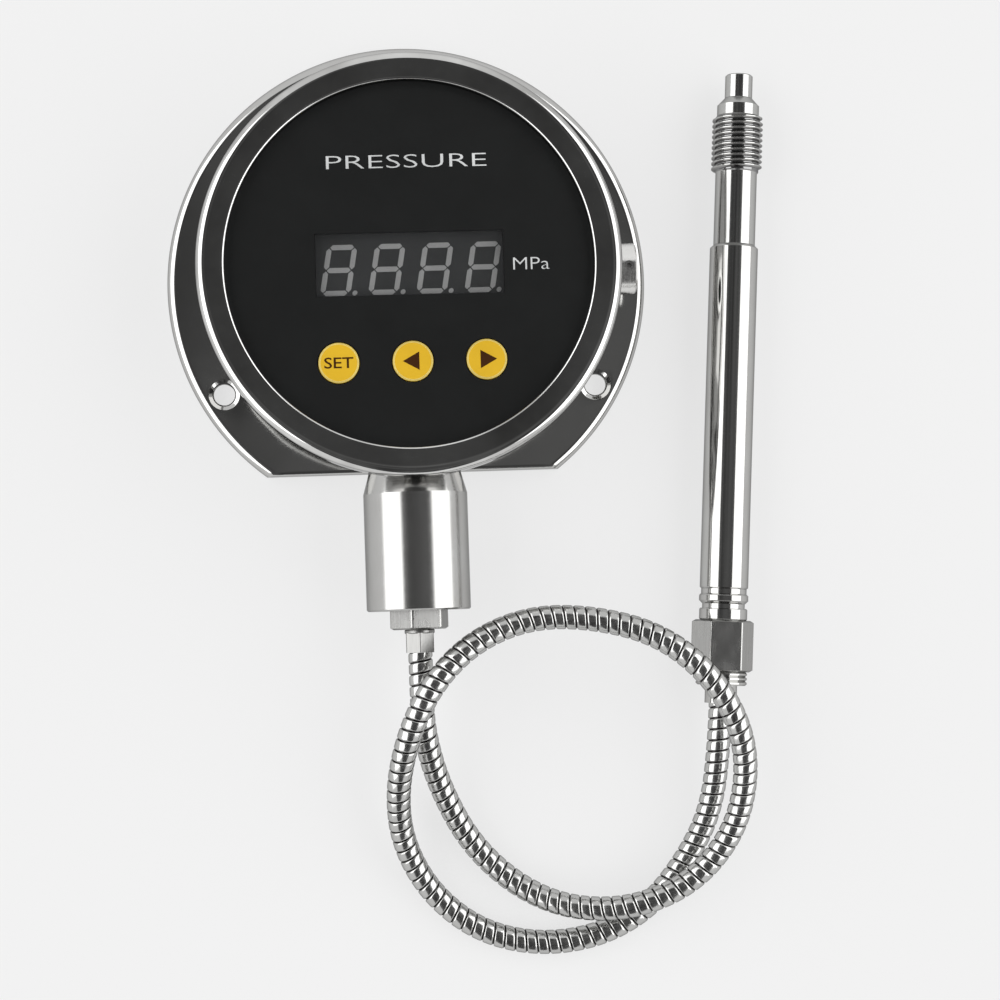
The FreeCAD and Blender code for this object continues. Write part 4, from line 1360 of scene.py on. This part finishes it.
# ---- studio -------------------------------------------------------------------------------
@dataclass
class Studio:
    """Pale floor, two side softboxes, a dark card overhead, pale surroundings and the camera."""

    pale: float = 0.888
    fill: float = 0.30
    floor_glow: float = 0.76
    floor_rough: float = 0.9
    floor_half: float = 12.0
    floor_drop: float = 0.0002
    card_size: Pair = (1.40, 6.2)
    card_place: Pair = (0.0, -2.5)
    card_height: float = 1.0
    card_grain: Grain = Grain((260.0, 420.0, 420.0), 1.0, 0.4)
    card_stops: Pair = (0.35, 0.65)
    card_tones: Pair = (0.05, 0.13)
    card_fade: float = 0.08
    lamp_power: float = 21.0
    lamp_reach: float = 1.5
    lamp_size: Pair = (1.45, 2.6)
    lamp_tilt: float = 53.0
    camera_place: Point = (-15.63, -95.37, 650.0)
    camera_aim: Point = (23.82, -60.49, 0.0)
    camera_roll: float = -0.0341
    lens: float = 84.77
    sensor: float = 36.0
    clip: Pair = (0.01, 60.0)

    @property
    def paint(self) -> tuple[float, ...]:
        """The colour of the floor and of the surroundings."""
        return (self.pale,) * 3 + (1.0,)

    def sky(self) -> None:
        """Pale surroundings, dimmer as a light than as a background."""
        world = bpy.data.worlds.new("studio_walls")
        world.use_nodes = True
        walls = Graph(world.node_tree)
        light = walls.add("Background", (1.0, 1.0, 1.0, 1.0), self.fill)
        shown = walls.add("Background", self.paint, 1.0)
        walls.add("OutputWorld", walls.add("MixShader", walls.bright_rays(), light, shown))
        world.cycles.sampling_method = "NONE"
        bpy.context.scene.world = world

    def sheet(self, name: str, size: Pair, height: float, material: Material,
              place: Pair = (0.0, 0.0)) -> bpy.types.Object:
        """A flat stage piece that isn't part of the object.

        Args:
            name: its name.
            size: its width and depth in metres.
            height: its height in metres.
            material: its material.
            place: its middle, in metres.

        Returns:
            The piece.
        """
        bm = bmesh.new()
        bmesh.ops.create_grid(bm, x_segments=1, y_segments=1, size=0.5)
        bmesh.ops.scale(bm, vec=(*size, 1.0), verts=bm.verts)
        bmesh.ops.translate(bm, vec=(*place, height), verts=bm.verts)
        mesh = bpy.data.meshes.new(name)
        bm.to_mesh(mesh)
        bm.free()
        mesh.materials.append(material)
        piece = bpy.data.objects.new(name, mesh)
        bpy.context.scene.collection.objects.link(piece)
        return piece

    def floor(self) -> None:
        """The pale floor, partly glowing as a backdrop does, so that its shadow stays soft."""
        ground = Shader("pale_floor", Roughness=self.floor_rough, Specular_IOR_Level=0.0,
                        Base_Color=self.paint)
        glow = ground.add("Emission", self.paint)
        share = ground.add("Math", ground.bright_rays(), self.floor_glow, operation="MULTIPLY")
        ground.feed(ground.output.inputs["Surface"],
                    ground.add("MixShader", share, ground.base, glow))
        side = 2 * self.floor_half
        self.sheet("floor", (side, side), -self.floor_drop, ground.material)

    def overhead_card(self) -> None:
        """A dark card above the object, seen only in its reflections, with faded edges."""
        dark = Shader("dark_card")
        glow = dark.add("Emission", dark.blend(dark.noise(self.card_grain), self.card_stops,
                                               *((tone,) * 3 for tone in self.card_tones)))
        places = dark.add("SeparateXYZ", dark.place()).outputs
        fades = []
        for axis, middle, size in zip("XY", self.card_place, self.card_size):
            apart = dark.add("Math", places[axis], middle, operation="SUBTRACT")
            far = dark.add("Math", apart, operation="ABSOLUTE")
            fades.append(dark.spread(far, 0.0, 1.0, size / 2 - self.card_fade, size / 2))
        dark.feed(dark.output.inputs["Surface"], dark.add(
            "MixShader", dark.add("Math", *fades, operation="MAXIMUM"), glow,
            dark.add("BsdfTransparent")))
        card = self.sheet("overhead_card", self.card_size, self.card_height, dark.material,
                          self.card_place)
        card.visible_camera = False
        card.visible_diffuse = False
        card.visible_transmission = False
        card.visible_shadow = False

    def softbox(self, name: str, side: int) -> None:
        """A large soft lamp at one side.

        Args:
            name: its name.
            side: 1 for the right, -1 for the left.
        """
        lamp = bpy.data.lights.new(name, "AREA")
        lamp.shape = "RECTANGLE"
        lamp.size, lamp.size_y = self.lamp_size
        lamp.energy = self.lamp_power
        turn = Matrix.Rotation(math.radians(self.lamp_tilt) * side, 4, "Y")
        holder = bpy.data.objects.new(name, lamp)
        holder.matrix_world = turn @ Matrix.Translation((0.0, 0.0, self.lamp_reach))
        holder.visible_camera = False
        bpy.context.scene.collection.objects.link(holder)

    def camera(self) -> None:
        """The camera, looking down on the object."""
        eye = bpy.data.cameras.new("view_camera")
        eye.lens = self.lens
        eye.sensor_width = self.sensor
        eye.clip_start, eye.clip_end = self.clip
        place = Vector(self.camera_place) * MM
        forward = (Vector(self.camera_aim) * MM - place).normalized()
        across = forward.cross(Vector((0.0, 1.0, 0.0))).normalized()
        level = Matrix((across, across.cross(forward), -forward)).transposed().to_4x4()
        holder = bpy.data.objects.new("view_camera", eye)
        holder.matrix_world = (Matrix.Translation(place) @ level
                               @ Matrix.Rotation(self.camera_roll, 4, "Z"))
        bpy.context.scene.collection.objects.link(holder)
        bpy.context.scene.camera = holder

    def build(self) -> None:
        """Set up the whole studio."""
        self.sky()
        self.floor()
        self.overhead_card()
        self.softbox("left_softbox", -1)
        self.softbox("right_softbox", 1)
        self.camera()
        bpy.context.scene.view_settings.view_transform = "Standard"


def main() -> None:
    """Dress the solids and add every piece."""
    logging.basicConfig(level=logging.INFO, format="%(message)s")
    finishes = Finishes()
    Studio().build()
    for piece in (
            ArmouredHose(finishes.armour),
            SpunBezel(finishes.bezel),
            PressedFlange(finishes.sheet),
            HexBar(finishes.nut, "hexagon_nut", "probe_nut", Lie.PROBE, flats=15.0, start=8.6,
                   end=22.7, bore=4.6),
            HexBar(finishes.plug, "hexagon_plug", "neck_plug", Lie.NECK, flats=14.2,
                   start=90.4, end=95.5, bore=1.6, ring=(5.0, 86.4, 90.6), clock=-15.0,
                   turned_start=False),
            HexBar(finishes.sleeve, "crimped_sleeve", "neck_ferrule", Lie.NECK, flats=7.4,
                   start=96.4, end=101.7, bore=1.6, ring=(4.05, 95.5, 96.6), clock=30.0,
                   corner=0.35, turned_start=False, turned_end=False),
            ThreadedTip(finishes.tip),
            DisplayDigits(finishes.segment),
            FacePrinting(finishes.ink),
            KeyLegends(finishes.legend),
            KeyRims(finishes.key_edge_highlight)):
        piece.build()


if __name__ == "__main__":
    main()
